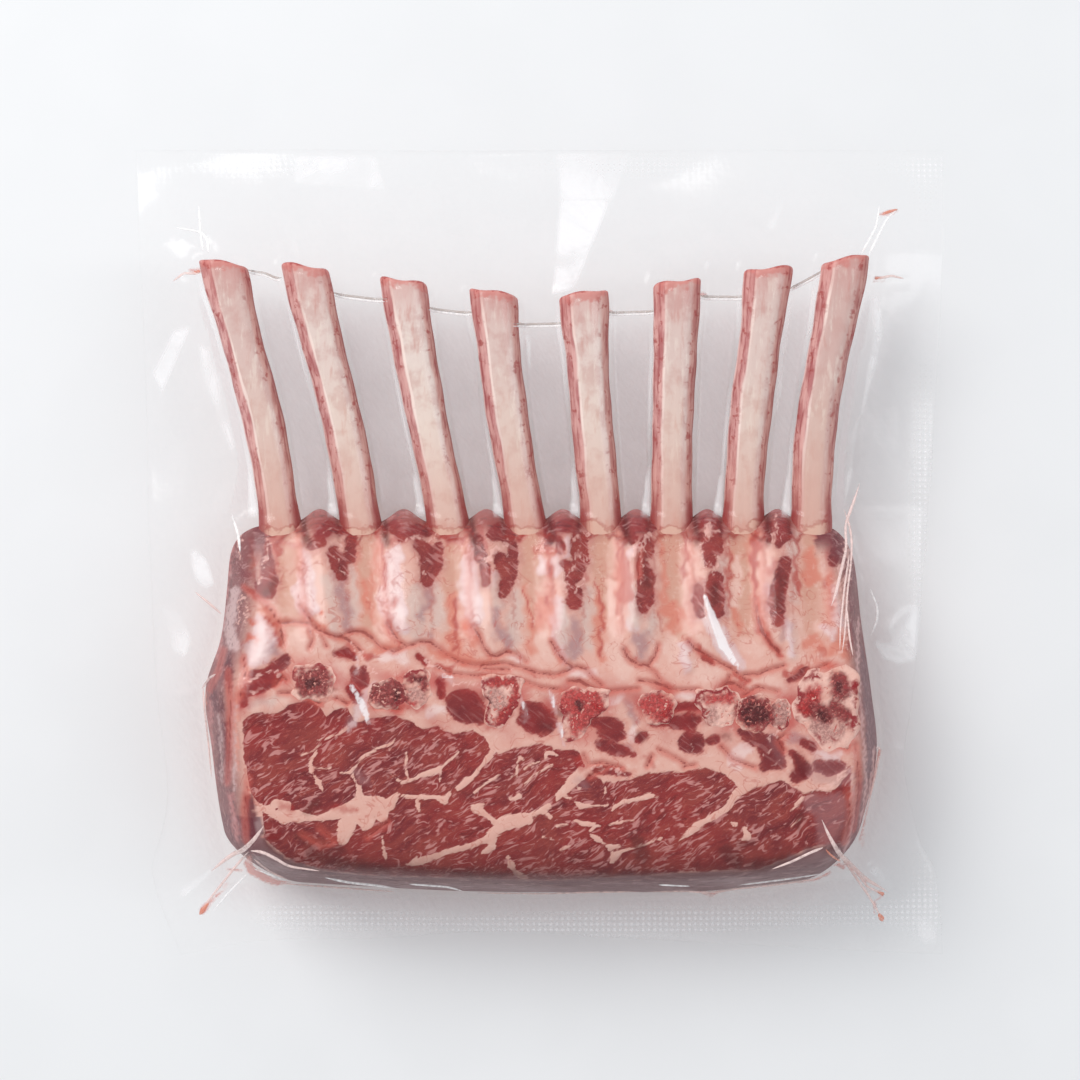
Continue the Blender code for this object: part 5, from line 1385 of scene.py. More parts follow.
# %% Note where the film is veiled, milky and embossed
# Panels of painted glare on the film, given by their corners.
GLARE_PANELS = [
    [(-75.7, 122.4), (-50.7, 122.8), (-47.7, 112), (-75.9, 113.6)],
    [(4.9, 123.6), (28.1, 123.6), (23.5, 109.4), (6.3, 109.4)],
    [(6.3, 109.6), (22.3, 109.6), (10.9, 80.6), (3.8, 78.7)],
    [(69.5, 100.2), (74.4, 109.4), (75.5, 108.5), (72, 98.5)],
    [(49.6, 86.4), (51.4, 89.4), (52.6, 88.8), (50.8, 85.6)],
    [(-76.2, 95.8), (-74.6, 95.8), (-73.6, 91), (-75.4, 90.6)],
    [(-104.4, 64.2), (-100.7, 61.8), (-93.2, 33), (-94.4, 30.6), (-103.6, 53.8)],
    [(-119.6, 55.4), (-112.4, 68.1), (-106.8, 69.4), (-110, 61.8), (-116.4, 49)],
    [(-84.2, 58.6), (-82.6, 57), (-77.3, 41), (-78.4, 43.9)],
    [(-61.3, 71.3), (-60.2, 69.7), (-51.7, 37), (-52.5, 39.4)],
    [(-4.9, 67.4), (-2.2, 66.9), (-2.4, 49), (-3.8, 55.4)],
    [(76, 76.1), (77.6, 77.7), (74.4, 49), (71.7, 36.2), (72.8, 55.4)],
    [(101.2, 79.3), (103.9, 78.5), (105.5, 68.2), (102.2, 66)],
    [(102.2, 66.4), (105.5, 68.6), (103.1, 55.4), (98.4, 42)],
    [(95.1, 36.2), (97.8, 41), (95.6, 23.4), (93.5, 15.5)],
    [(102, -28), (105, -24.3), (110.7, -17), (118, -15), (119, -32), (111, -34.5), (106, -33)],
    [(-108, 3), (-102, -2), (-99.6, -9), (-101, -14), (-106, -8)],
    [(-117, -16), (-110, -19), (-107, -27), (-109, -33), (-113, -30)],
    [(116, -112), (122, -114), (123, -121), (118, -121.6)],
    [(-96, -92.6), (-94.6, -93.6), (-110, -106.6), (-111.6, -105)],
    [(98, -92), (101, -92.6), (110, -103.6), (107, -105), (101.6, -99)],
]


def panel_depth(x, y, panels):
    """How far inside the nearest straight-edged panel each point lies, in mm; its corners go clockwise."""
    depth = np.full(x.shape, FAR_OUTSIDE)
    for corners in panels:
        inside = np.full(x.shape, -FAR_OUTSIDE)
        for (ax, ay), (bx, by) in zip(corners, corners[1:] + corners[:1]):
            across = (x - ax) * (by - ay) - (y - ay) * (bx - ax)
            inside = np.minimum(inside, across / math.hypot(bx - ax, by - ay))
        depth = np.maximum(depth, inside)
    return depth


# Streaks of painted glare on the film over the meat.
GLARE_STREAKS = [
    [(-57, -40, .5), (-53.5, -46, 1.1), (-51.5, -52, .5)],
    [(50, -13, .5), (52.4, -20, 1.2), (55.6, -28, 1.4), (60.5, -35.5, .4)], [(3.4, -42, .6), (4.4, -47, .4)],
    [(6.4, -51, .4), (6.9, -56, .3)], [(-5.2, -45, .4), (-3.8, -49, .3)],
    [(-29, -37.2, .6), (-26, -37.6, .3)],
]
JUICE = [
    [(-88, -92.6, .6), (-89.6, -95.6, 1.5), (-88.6, -98, 1.3), (-84, -100.4, 1.1), (-81.6, -101.6, .9),
     (-76, -101.6, .2)], [(-86, -100.4, .4), (-83, -102, .5), (-79, -101.6, .4)],
    [(-92, -98, .3), (-97, -97.6, .2)], [(-95, -101, .2), (-100, -106.4, .5), (-103.8, -110.4, 1.2)],
    [(90.6, -95.6, .6), (93.6, -97, .6)],
    [(94, -95.4, .6), (96.4, -97.4, .4), (104, -104.6, .4), (106, -105.4, .8)],
    [(98, -99, .2), (101.6, -105, .3), (105, -112.6, .9)],
    [(80, -101.4, .3), (86, -100.4, .4), (89.4, -98.6, .4)],
    [(48, -103.6, .2), (52.6, -105.6, .5), (56, -103.8, .3)], [(-103.6, 86, .7), (-107, 86.4, .4)],
    [(102.6, 83.6, .7), (106, 84, .4)], [(104.6, 103.6, .4), (107, 104.4, .7), (110, 105, .4)],
    [(-7, 70, .7), (-5.4, 69.6, .4)], [(21, 74.4, .5), (22.4, 73.6, .3)], [(49.6, 79, .8), (52, 78.2, .4)],
    [(77.4, 81.4, .7), (79, 81.6, .3)], [(104.4, -61, .7), (103, -67, .6), (100.6, -78, .4), (99, -90, .5)],
]
upper_film = flat[:, 2] > 0.5
away = rack_distance(x, y)
on_rib = sum(mound(rib, x, y) for rib in RIBS)
off_ribs = 1 - smooth_step(0.0, 0.35, on_rib)
# Painted shade: a grey-mauve veil between the ribs and round the foot of the meat, faint on its walls.
in_web = smooth_step(8, 18, y) * smooth_step(0, 9, tip_line(x) - 8 - y) * (away < 1) * off_ribs
near_foot = np.exp(-((away / 9) ** 2)) * smooth_step(0.2, 2.0, away) * smooth_step(-20, 10, -y)
on_walls = smooth_step(0.5, 1.0, block_outward(x, y)) * (away < 0.5) * (y < 8)
shade_veil = 0.24 * in_web + 0.25 * near_foot + 0.06 * on_walls
note(film, "shade_veil", np.where(upper_film, shade_veil, 0.3 * shade_veil))
# Painted highlight: a pale line beside the left side of each bone, and a white triangle at its root.
bone_side_highlight = sum(hump(x - rib_line(rib, y) + bone_half(rib, y) + 0.9, 0.6) for rib in RIBS)
bone_side_highlight = bone_side_highlight * (y > 12) * smooth_step(2, 12, tip_line(x) - y)
bone_side_highlight = bone_side_highlight * (0.55 + 0.45 * np.sin(y / 9.0 + x / 14.0))
by_root = smooth_step(10, 13, y) * (1 - smooth_step(20, 34, y))
for rib in RIBS:
    from_left = x - rib_line(rib, y) + 9.4 - 0.12 * (y - 12)
    from_bone = rib_line(rib, y) - bone_half(rib, y) - 0.3 - x
    root_highlight = smooth_step(-0.4, 0.6, np.minimum(from_left, from_bone))
    bone_side_highlight = np.maximum(bone_side_highlight, root_highlight * by_root)
note(film, "bone_side_highlight", bone_side_highlight * upper_film)
marks = (("juice", stroke_depth(x, y, JUICE), -6), ("glare_panel", panel_depth(x, y, GLARE_PANELS), -8),
         ("glare_streak", stroke_depth(x, y, GLARE_STREAKS), -8))
for name, depth, lowest in marks:
    note(film, name, np.where(upper_film, np.maximum(depth, lowest), lowest))
note(film, "embossed", smooth_step(2, 14, away) * upper_film)
# Painted glints: bands along the border where the embossed studs show white.
foot_band = hump(y + 114.5 - 0.03 * np.abs(x), 4.6) * (0.75 + 0.25 * np.sin(x / 19.0))
foot_band = foot_band * smooth_step(-100, -70, x)
side_band = hump(x - 119.0, 5.0) * (0.4 + 0.4 * np.sin(y / 23.0 + 1.2)) * smooth_step(124, 116, np.abs(y))
head_band = hump(y - 119.5, 3.6) * (0.25 + 0.25 * np.sin(x / 17.0))
note(film, "glint_band", np.clip(foot_band + side_band + head_band, 0, 1) * upper_film)
print("film veiled over", round(100 * float(np.mean(shade_veil > 0.2))), "% of its plan")

# %% [markdown]
# Materials are built from nodes. A few small helpers keep them readable: the first adds a node and feeds
# its sockets, whether with numbers or with other nodes' outputs, and the others are its everyday uses.
# Object coordinates are turned into millimetres, so every pattern's size is its real size.

# %% Helpers for materials
def feed(tree, made, feeds):
    """Gives each named socket of a node its number, its colour or a link."""
    for socket, value in feeds.items():
        if isinstance(value, bpy.types.NodeSocket):
            tree.links.new(value, made.inputs[socket])
        else:
            made.inputs[socket].default_value = value


def add(tree, kind, feeds=None, **settings):
    made = tree.nodes.new("ShaderNode" + kind)
    for setting, value in settings.items():
        setattr(made, setting, value)
    feed(tree, made, feeds or {})
    return made


def maths(tree, operation, a, b=0.0, c=0.0):
    return add(tree, "Math", {0: a, 1: b, 2: c}, operation=operation).outputs[0]


def times(tree, a, b):
    return maths(tree, "MULTIPLY", a, b)


def distance_to(tree, value, centre):
    return maths(tree, "ABSOLUTE", maths(tree, "SUBTRACT", value, centre))


def between(tree, value, low, high, to_low=0.0, to_high=1.0):
    """A smooth step of a value, from `to_low` at `low` to `to_high` at `high`."""
    feeds = {0: value, 1: low, 2: high, 3: to_low, 4: to_high}
    return add(tree, "MapRange", feeds, interpolation_type="SMOOTHSTEP").outputs[0]


def tint(tree, amount, colour, over, blend="MIX"):
    """`colour` laid over `over`, by `amount`."""
    return add(tree, "Mix", {0: amount, 6: over, 7: colour}, data_type="RGBA", blend_type=blend).outputs[2]


def tint_all(tree, colour, coats):
    """Coats laid over a colour in order, each an amount and its own colour."""
    for amount, coat_colour in coats:
        colour = tint(tree, amount, coat_colour, colour)
    return colour


def noise(tree, vector, scale, detail=2.0, roughness=0.5, distortion=0.0):
    feeds = {"Vector": vector, "Scale": scale, "Detail": detail}
    feeds.update({"Roughness": roughness, "Distortion": distortion})
    return add(tree, "TexNoise", feeds).outputs["Fac"]


def noted(tree, name):
    return add(tree, "Attribute", attribute_name=name).outputs["Fac"]


def in_mm(tree):
    """Where a point lies on its piece, in mm."""
    place = add(tree, "TexCoord").outputs["Object"]
    return add(tree, "VectorMath", {0: place, "Scale": 1000.0}, operation="SCALE").outputs[0]


def new_material(name):
    material = bpy.data.materials.new(name)
    material.use_nodes = True
    return material, material.node_tree, material.node_tree.nodes["Principled BSDF"]


def new_group(name, inputs, outputs):
    """An empty shader group, with its named sockets."""
    tree = bpy.data.node_groups.new(name, "ShaderNodeTree")
    for direction, sockets in (("INPUT", inputs), ("OUTPUT", outputs)):
        for socket, kind in sockets.items():
            tree.interface.new_socket(socket, in_out=direction, socket_type="NodeSocket" + kind)
    return tree, tree.nodes.new("NodeGroupInput").outputs, tree.nodes.new("NodeGroupOutput").inputs


def place_group(tree, group, feeds):
    made = add(tree, "Group", node_tree=group)
    feed(tree, made, feeds)
    return made.outputs


# %% [markdown]
# Three effects appear on more than one piece, so each is a group. A ragged edge turns a depth into a mask
# whose border wanders a little. Lamb fat is cream, flushed with pink, with soft red veins here and there.
# Spongy bone has pits of about a millimetre between pale walls.

# %% Shared effects
edge_inputs = {"Vector": "Vector", "Depth": "Float", "Wander": "Float", "Size": "Float", "Softness": "Float"}
ragged_edge, given, gives = new_group("ragged_edge", edge_inputs, {"Mask": "Float"})
edge_noise = noise(ragged_edge, given["Vector"], given["Size"], 2.0, 0.6)
push = maths(ragged_edge, "MULTIPLY_ADD", edge_noise, 2.0, -1.0)
moved = maths(ragged_edge, "MULTIPLY_ADD", push, given["Wander"], given["Depth"])
low = times(ragged_edge, given["Softness"], -1.0)
ragged_edge.links.new(between(ragged_edge, moved, low, given["Softness"]), gives["Mask"])

fat_inputs = {"Vector": "Vector", "Tint": "Color", "Flush": "Float"}
fat_lobes, given, gives = new_group("fat_lobes", fat_inputs, {"Color": "Color", "Height": "Float"})
patch = noise(fat_lobes, given["Vector"], 0.11, 3.0, 0.6, 0.6)
fine_patch = noise(fat_lobes, given["Vector"], 0.55, 3.0, 0.6, 0.4)
flushed = times(fat_lobes, between(fat_lobes, patch, 0.44, 0.66), given["Flush"])
fat = tint(fat_lobes, flushed, srgb(202, 122, 104), given["Tint"])
fat = tint_all(fat_lobes, fat, [
    (between(fat_lobes, fine_patch, 0.54, 0.74, 0.0, 0.2), srgb(196, 116, 100)),
    (between(fat_lobes, fine_patch, 0.46, 0.3, 0.0, 0.14), srgb(242, 222, 212)),
])
vein_field = noise(fat_lobes, given["Vector"], 0.16, 2.0, 0.5, 1.0)
off_vein = distance_to(fat_lobes, vein_field, 0.5)
vein_bed = between(fat_lobes, patch, 0.42, 0.62, 0.002, 0.02)
red_vein = between(fat_lobes, maths(fat_lobes, "SUBTRACT", vein_bed, off_vein), -0.008, 0.012, 0.0, 0.4)
fat = tint(fat_lobes, red_vein, srgb(176, 76, 66), fat)
fat_lobes.links.new(fat, gives["Color"])
lobes = noise(fat_lobes, given["Vector"], 0.34, 1.0)
lobe_height = maths(fat_lobes, "MULTIPLY_ADD", lobes, 0.8, times(fat_lobes, fine_patch, 0.25))
fat_lobes.links.new(lobe_height, gives["Height"])

pore_outputs = {"Mask": "Float", "Height": "Float"}
bone_pores, given, gives = new_group("bone_pores", {"Vector": "Vector", "Size": "Float"}, pore_outputs)
sponge = noise(bone_pores, given["Vector"], maths(bone_pores, "DIVIDE", 1.0, given["Size"]), 3.0, 0.7, 0.8)
bone_pores.links.new(between(bone_pores, sponge, 0.56, 0.44), gives["Mask"])
bone_pores.links.new(sponge, gives["Height"])
print("shared effects:", [group.name for group in bpy.data.node_groups])

# %% [markdown]
# The meat's material reads the noted tissues in order, like washes of paint: lean or fat first, then
# silverskin, firm fat with painted highlight, blood, dark meat with painted shade, and creases, red with
# painted shade in their grooves. The lean's grain comes from noise stretched along the muscle, which runs up
# to the right: its narrow middle band gives thin broken lines of fat and its peaks give small pale flecks.

# %% Meat
GRAIN_ANGLE = math.radians(31)
STRIPE_ANGLE = math.radians(-38)


def signed(tree, value, amount):
    """Noise turned into a push of up to `amount` either way."""
    return times(tree, maths(tree, "SUBTRACT", value, 0.5), 2 * amount)


def stretched(tree, place, scale, angle=0.0):
    """Places drawn out along their axes by `scale`, after a turn, for noise that runs in streaks."""
    feeds = {"Vector": place, "Rotation": (0, 0, angle), "Scale": scale}
    return add(tree, "Mapping", feeds, vector_type="TEXTURE").outputs[0]


def thin_lines(tree, grain, place, scale, width):
    """Broken, wandering lines: the narrow middle band of a noise, in beds where it is wider."""
    field = noise(tree, grain, scale, 2.0, 0.5, 0.6)
    off_line = distance_to(tree, field, 0.5)
    bed = between(tree, noise(tree, place, scale * 0.5, 2.0), 0.42, 0.7, 0.0, width)
    return between(tree, maths(tree, "SUBTRACT", bed, off_line), 0.0, width * 0.7)


def painted(tree, name):
    """A colour kept on the mesh, and how much of it there is."""
    node = add(tree, "Attribute", attribute_name=name, attribute_type="GEOMETRY")
    return node.outputs["Color"], node.outputs["Alpha"]


meat_finish, tree, shader = new_material("raw_meat")
place = in_mm(tree)
bend = add(tree, "TexNoise", {"Vector": place, "Scale": 0.07, "Detail": 2.0}).outputs["Color"]
bend = add(tree, "VectorMath", {0: bend, 1: (0.5, 0.5, 0.5)}, operation="SUBTRACT").outputs[0]
flow = {0: bend, 1: (7.0, 7.0, 2.0), 2: place}
flowing = add(tree, "VectorMath", flow, operation="MULTIPLY_ADD").outputs[0]
grain = stretched(tree, flowing, (3.4, 1.0, 1.6), GRAIN_ANGLE)
in_loin = noted(tree, "loin")

lines = thin_lines(tree, grain, place, 0.3, 0.045)
flecks = noise(tree, grain, 0.95, 2.0, 0.5, 0.5)
fleck_level = between(tree, noise(tree, place, 0.1, 2.0), 0.34, 0.66, 0.63, 0.53)
fleck_mask = between(tree, maths(tree, "SUBTRACT", flecks, fleck_level), -0.02, 0.1)
fine_fleck = noise(tree, grain, 1.7, 2.0, 0.55, 0.4)
hair = noise(tree, grain, 2.4, 2.0, 0.6, 0.3)
tone = noise(tree, flowing, 0.075, 3.0, 0.55)
tone_fine = noise(tree, grain, 0.3, 3.0, 0.6)
stripes = noise(tree, stretched(tree, place, (4.0, 1.0, 1.6), STRIPE_ANGLE), 0.75, 1.0, 0.4, 0.5)

lean_colour = tint(tree, between(tree, tone, 0.36, 0.64), srgb(140, 46, 45), srgb(116, 40, 43))
lean_colour = tint_all(tree, lean_colour, [
    (between(tree, tone_fine, 0.42, 0.7, 0.0, 0.7), srgb(148, 64, 56)),
    (between(tree, tone_fine, 0.46, 0.3, 0.0, 0.5), srgb(82, 24, 28)),
    (between(tree, fine_fleck, 0.54, 0.74, 0.0, 0.5), srgb(180, 96, 84)),
    (between(tree, hair, 0.46, 0.28, 0.0, 0.3), srgb(76, 20, 24)),
])
marbling = times(tree, maths(tree, "MAXIMUM", lines, fleck_mask), in_loin)
striped = times(tree, between(tree, stripes, 0.55, 0.7), maths(tree, "SUBTRACT", 1.0, in_loin))
lean_colour = tint(tree, maths(tree, "MULTIPLY_ADD", in_loin, -0.12, 0.12), srgb(184, 104, 98), lean_colour)
vein = times(tree, maths(tree, "MAXIMUM", marbling, times(tree, striped, 0.6)), 0.58)
lean_colour = tint(tree, vein, srgb(214, 154, 148), lean_colour)

nibble = signed(tree, noise(tree, grain, 1.4, 2.0, 0.6), 0.5)
lean_depth_here = maths(tree, "ADD", noted(tree, "lean"), nibble)
lean_blur = maths(tree, "MULTIPLY_ADD", in_loin, -0.2, 0.4)
lean_edge = {"Vector": grain, "Depth": lean_depth_here, "Wander": 1.1, "Size": 0.5, "Softness": lean_blur}
lean_mask = place_group(tree, ragged_edge, lean_edge)["Mask"]
fat_tint, _ = painted(tree, "fat_tint")
fat_made = place_group(tree, fat_lobes, {"Vector": place, "Tint": fat_tint, "Flush": 0.14})
colour = tint(tree, lean_mask, lean_colour, fat_made["Color"])

wash, wash_cover = painted(tree, "wash")
wall_way = add(tree, "Mapping", {"Vector": place, "Scale": (0.12, 0.35, 0.35)}).outputs[0]
folds = noise(tree, wall_way, 1.6, 3.0, 0.6, 0.8)
on_wall = noted(tree, "wall")
wash = tint_all(tree, wash, [
    (times(tree, between(tree, folds, 0.52, 0.68, 0.0, 0.4), on_wall), srgb(196, 158, 156)),
    (times(tree, between(tree, folds, 0.46, 0.32, 0.0, 0.8), on_wall), srgb(88, 44, 52)),
])
colour = tint(tree, wash_cover, wash, colour)

roughened = signed(tree, noise(tree, place, 0.45, 3.0, 0.6), 0.6)
crease_depth = maths(tree, "ADD", noted(tree, "crease"), roughened)
# Creases: a red flush of blood along each, and a darker core in the groove that is painted shade.
colour = tint_all(tree, colour, [
    (between(tree, crease_depth, -1.9, 0.1, 0.0, 0.55), srgb(190, 84, 72)),
    (between(tree, crease_depth, -0.1, 0.35, 0.0, 0.7), srgb(134, 50, 46)),
])
pale_roughened = signed(tree, noise(tree, place, 0.4, 3.0, 0.6), 0.7)
pale_depth = maths(tree, "ADD", noted(tree, "pale_line"), pale_roughened)
colour = tint(tree, between(tree, pale_depth, -0.35, 0.25, 0.0, 0.6), srgb(232, 184, 174), colour)

relief = maths(tree, "MULTIPLY_ADD", fine_fleck, 0.3, times(tree, vein, 0.3))
relief = add(tree, "Mix", {0: lean_mask, 2: fat_made["Height"], 3: relief}, data_type="FLOAT").outputs[0]
bump = add(tree, "Bump", {"Height": relief, "Strength": 0.25, "Distance": 0.0006}).outputs[0]
wet = add(tree, "Mix", {0: lean_mask, 2: 0.55, 3: 0.4}, data_type="FLOAT").outputs[0]
for socket, value in (("Base Color", colour), ("Roughness", wet), ("Normal", bump)):
    tree.links.new(value, shader.inputs[socket])
shader.inputs["Specular IOR Level"].default_value = 0.15
meat.data.materials.append(meat_finish)
print("meat material:", len(tree.nodes), "nodes")

# %% [markdown]
# A scraped rib is cream to grey-pink, with a dull red strip left along its outer edge and a darker right
# edge. A fine white line along it and a pale far left edge are painted highlight, where the film over the
# bone catches the lamp. Blood gathers at the root and around the sawn tip, and the marrow is a red spongy
# core.

# %% Rib bone
# Thin red lines along each bone: where across it they run, their width and their strength.
RED_LINES = ((-0.93, 0.05, 0.7), (-0.74, 0.035, 0.55), (-0.56, 0.03, 0.45), (0.86, 0.06, 0.6))
bone_finish, tree, shader = new_material("scraped_rib_bone")
place = in_mm(tree)
across, from_tip, tone = noted(tree, "across"), noted(tree, "from_tip"), noted(tree, "tone")
long_grain = stretched(tree, place, (1.0, 5.0, 1.0))
streaks = noise(tree, long_grain, 0.5, 4.0, 0.62)
cloud = noise(tree, place, 0.16, 3.0, 0.6)
shift = maths(tree, "ADD", across, signed(tree, noise(tree, long_grain, 0.22, 2.0), 0.14))
colour = tint(tree, tone, srgb(226, 208, 199), srgb(204, 168, 160))
colour = tint_all(tree, colour, [
    (between(tree, cloud, 0.44, 0.66, 0.0, 0.6), srgb(198, 156, 148)),
    (between(tree, streaks, 0.54, 0.74, 0.0, 0.5), srgb(196, 140, 128)),
    (between(tree, streaks, 0.46, 0.32, 0.0, 0.45), srgb(232, 216, 204)),
])
right_strip = tint(tree, between(tree, streaks, 0.4, 0.62), srgb(172, 104, 98), srgb(204, 152, 142))
colour = tint(tree, between(tree, shift, 0.58, 0.74, 0.0, 0.85), right_strip, colour)
left_strip = tint(tree, between(tree, streaks, 0.38, 0.64), srgb(176, 102, 102), srgb(216, 162, 156))
colour = tint(tree, between(tree, shift, -0.48, -0.56, 0.0, 0.92), left_strip, colour)
# Painted highlight: a broken white line along the bone's left third, where the film over it catches the lamp.
highlight_line = times(tree, between(tree, shift, -0.6, -0.54), between(tree, shift, -0.4, -0.47))
highlight_breaks = between(tree, noise(tree, long_grain, 0.12, 2.0), 0.35, 0.6, 0.2, 0.8)
colour = tint_all(tree, colour, [
    (times(tree, highlight_line, highlight_breaks), srgb(244, 222, 212)),
    (between(tree, across, 0.9, 1.0, 0.0, 0.8), srgb(150, 62, 58)),
    # Painted highlight: the pale far left edge of the bone.
    (between(tree, across, -0.93, -1.0, 0.0, 0.7), srgb(240, 214, 208)),
])
near_tip = maths(tree, "ADD", signed(tree, streaks, 9.0), times(tree, from_tip, -1.0))
colour = tint(tree, between(tree, near_tip, -16.0, 1.0, 0.0, 0.55), srgb(198, 132, 126), colour)
from_root = noted(tree, "from_root")
# Blood, from the end of the bone inwards: place, depth, wander, size, softness, strength and colour.
stains = (
    (place, maths(tree, "SUBTRACT", 2.6, from_tip), 4.4, 0.35, 1.0, 0.6, srgb(202, 112, 104)),
    (place, maths(tree, "SUBTRACT", 0.5, from_tip), 1.3, 0.6, 0.3, 0.75, srgb(166, 56, 52)),
    (long_grain, maths(tree, "SUBTRACT", 5.0, from_root), 7.0, 0.4, 3.0, 0.7, srgb(194, 112, 102)),
)
for way, depth, reach, size, softness, strength, stain_colour in stains:
    edge = {"Vector": way, "Depth": depth, "Wander": reach, "Size": size, "Softness": softness}
    stain = place_group(tree, ragged_edge, edge)["Mask"]
    colour = tint(tree, times(tree, stain, strength), stain_colour, colour)
colour = tint(tree, between(tree, from_root, 40.0, 4.0, 0.0, 0.62), srgb(204, 142, 128), colour)
root_here = maths(tree, "ADD", from_root, signed(tree, noise(tree, place, 0.16, 3.0, 0.6), 7.0))
colour = tint(tree, between(tree, root_here, 4.6, 3.4, 0.0, 0.9), srgb(212, 164, 146), colour)
torn = between(tree, distance_to(tree, root_here, 4.0), 1.2, 0.2, 0.0, 0.6)
colour = tint(tree, torn, srgb(168, 68, 60), colour)
flank = between(tree, maths(tree, "ABSOLUTE", across), 0.5, 0.85)
flank_blood = times(tree, flank, between(tree, root_here, 17.0, 8.0, 0.0, 0.85))
colour = tint(tree, flank_blood, srgb(150, 50, 50), colour)
off_middle = maths(tree, "ABSOLUTE", shift)
cream_end = times(tree, between(tree, from_root, 60.0, 34.0, 0.0, 0.22), between(tree, off_middle, 0.5, 0.35))
colour = tint(tree, cream_end, srgb(232, 206, 184), colour)
line_strength = between(tree, streaks, 0.4, 0.62, 0.3, 1.0)
for where, width, strength in RED_LINES:
    red_line = between(tree, distance_to(tree, shift, where), width, 0.2 * width)
    red_line = times(tree, times(tree, red_line, line_strength), strength)
    colour = tint(tree, red_line, srgb(146, 54, 56), colour)
blotch = between(tree, noise(tree, place, 0.35, 3.0, 0.65), 0.56, 0.66)
blotch = times(tree, blotch, between(tree, off_middle, 0.35, 0.75))
colour = tint(tree, times(tree, blotch, 0.75), srgb(158, 62, 58), colour)
pores = place_group(tree, bone_pores, {"Vector": place, "Size": 0.9})
marrow = tint(tree, pores["Mask"], srgb(158, 44, 34), srgb(224, 150, 128))
sawn = noted(tree, "sawn")
colour = tint(tree, sawn, marrow, colour)
height = maths(tree, "MULTIPLY_ADD", streaks, 0.6, times(tree, noise(tree, place, 1.4, 3.0, 0.6), 0.3))
height = maths(tree, "MULTIPLY_ADD", times(tree, sawn, pores["Height"]), 1.0, height)
bump = add(tree, "Bump", {"Height": height, "Strength": 0.45, "Distance": 0.0005}).outputs[0]
rough = between(tree, streaks, 0.3, 0.7, 0.3, 0.5)
for socket, value in (("Base Color", colour), ("Roughness", rough), ("Normal", bump)):
    tree.links.new(value, shader.inputs[socket])
shader.inputs["Specular IOR Level"].default_value = 0.35
for piece in ribs:
    piece.data.materials.clear()
    piece.data.materials.append(bone_finish)
print("bone material:", len(tree.nodes), "nodes")

# %% [markdown]
# The spongy faces of the backbone take their painted marrow, darkened in the pits and crumbed with pale
# bone. Their rims are red on one side or the other, and go over into the fat around them.

# %% Spongy bone
chine_finish, tree, shader = new_material("sawn_backbone")
place = in_mm(tree)
marrow, bled = painted(tree, "marrow")
pores = place_group(tree, bone_pores, {"Vector": place, "Size": 0.75})
crumbs = between(tree, noise(tree, place, 1.0, 3.0, 0.6, 0.5), 0.52, 0.66)
pit_colour = tint(tree, 1.0, srgb(146, 92, 98), marrow, "MULTIPLY")
colour = tint(tree, times(tree, pores["Mask"], 0.55), pit_colour, marrow)
colour = tint(tree, times(tree, crumbs, 0.26), srgb(222, 142, 132), colour)
fat_made = place_group(tree, fat_lobes, {"Vector": place, "Tint": CREAM_BONE, "Flush": 0.5})
colour = tint(tree, bled, colour, fat_made["Color"])
rim = maths(tree, "MULTIPLY_ADD", noise(tree, place, 0.5, 3.0), 0.7, noted(tree, "rim"))
red_side = between(tree, noise(tree, place, 0.13, 2.0), 0.44, 0.58)
colour = tint_all(tree, colour, [
    (times(tree, between(tree, rim, 0.98, 1.16), red_side), srgb(142, 36, 40)),
    (between(tree, rim, 1.2, 1.3, 0.0, 0.8), fat_made["Color"]),
])
bump = add(tree, "Bump", {"Height": pores["Height"], "Strength": 0.5, "Distance": 0.0005}).outputs[0]
for socket, value in (("Base Color", colour), ("Normal", bump)):
    tree.links.new(value, shader.inputs[socket])
shader.inputs["Roughness"].default_value = 0.42
shader.inputs["Specular IOR Level"].default_value = 0.25
for piece in chine_bones:
    piece.data.materials.append(chine_finish)
print("backbone material:", len(tree.nodes), "nodes")

# %% [markdown]
# Film is mostly hole: a Transparent shader that a little white haze and a mirror-like gloss are mixed over.
# The gloss goes by Fresnel, as on real plastic, up to a low limit that keeps it from hiding the meat. The
# haze is painted light and shade together with juice: the noted veil of painted shade, painted glare panels
# and streaks, painted highlights beside the bones, and juice, broken up by stretched noise, with small white
# painted glints on the embossed bands. The lower ply has a faint, cloudy haze of its own. The folds are a
# whiter, half clear film. Light passes straight through all three on its way from the lamps, so clear film
# casts no shadow.

# %% Film
DIAMOND_SIZE = 0.4


def let_light_through(tree, film_shader, clear_shader):
    """Ends a film material: as the film is for the eye, and clear for a lamp's light."""
    to_lamp = add(tree, "LightPath").outputs["Is Shadow Ray"]
    ended = add(tree, "MixShader", {0: to_lamp, 1: film_shader, 2: clear_shader}).outputs[0]
    tree.links.new(ended, tree.nodes["Material Output"].inputs["Surface"])


film_finish, tree, haze_shader = new_material("clear_film")
place = in_mm(tree)
wrinkle_way = stretched(tree, place, (1.0, 3.4, 1.0), 0.5)
wrinkles = noise(tree, wrinkle_way, 0.35, 2.0, 0.55, 1.0)
slanted = stretched(tree, place, (DIAMOND_SIZE, DIAMOND_SIZE, 1.0), math.radians(45))
turned_x, turned_y, _ = add(tree, "SeparateXYZ", {0: slanted}).outputs
diamonds = times(tree, maths(tree, "SINE", turned_x), maths(tree, "SINE", turned_y))
embossed = times(tree, noted(tree, "embossed"), between(tree, noise(tree, place, 0.05, 2.0), 0.4, 0.6))
height = maths(tree, "MULTIPLY_ADD", times(tree, diamonds, embossed), 0.12, wrinkles)
bump = add(tree, "Bump", {"Height": height, "Strength": 0.12, "Distance": 0.001}).outputs[0]

streaky = noise(tree, wrinkle_way, 0.9, 1.0, 0.6)
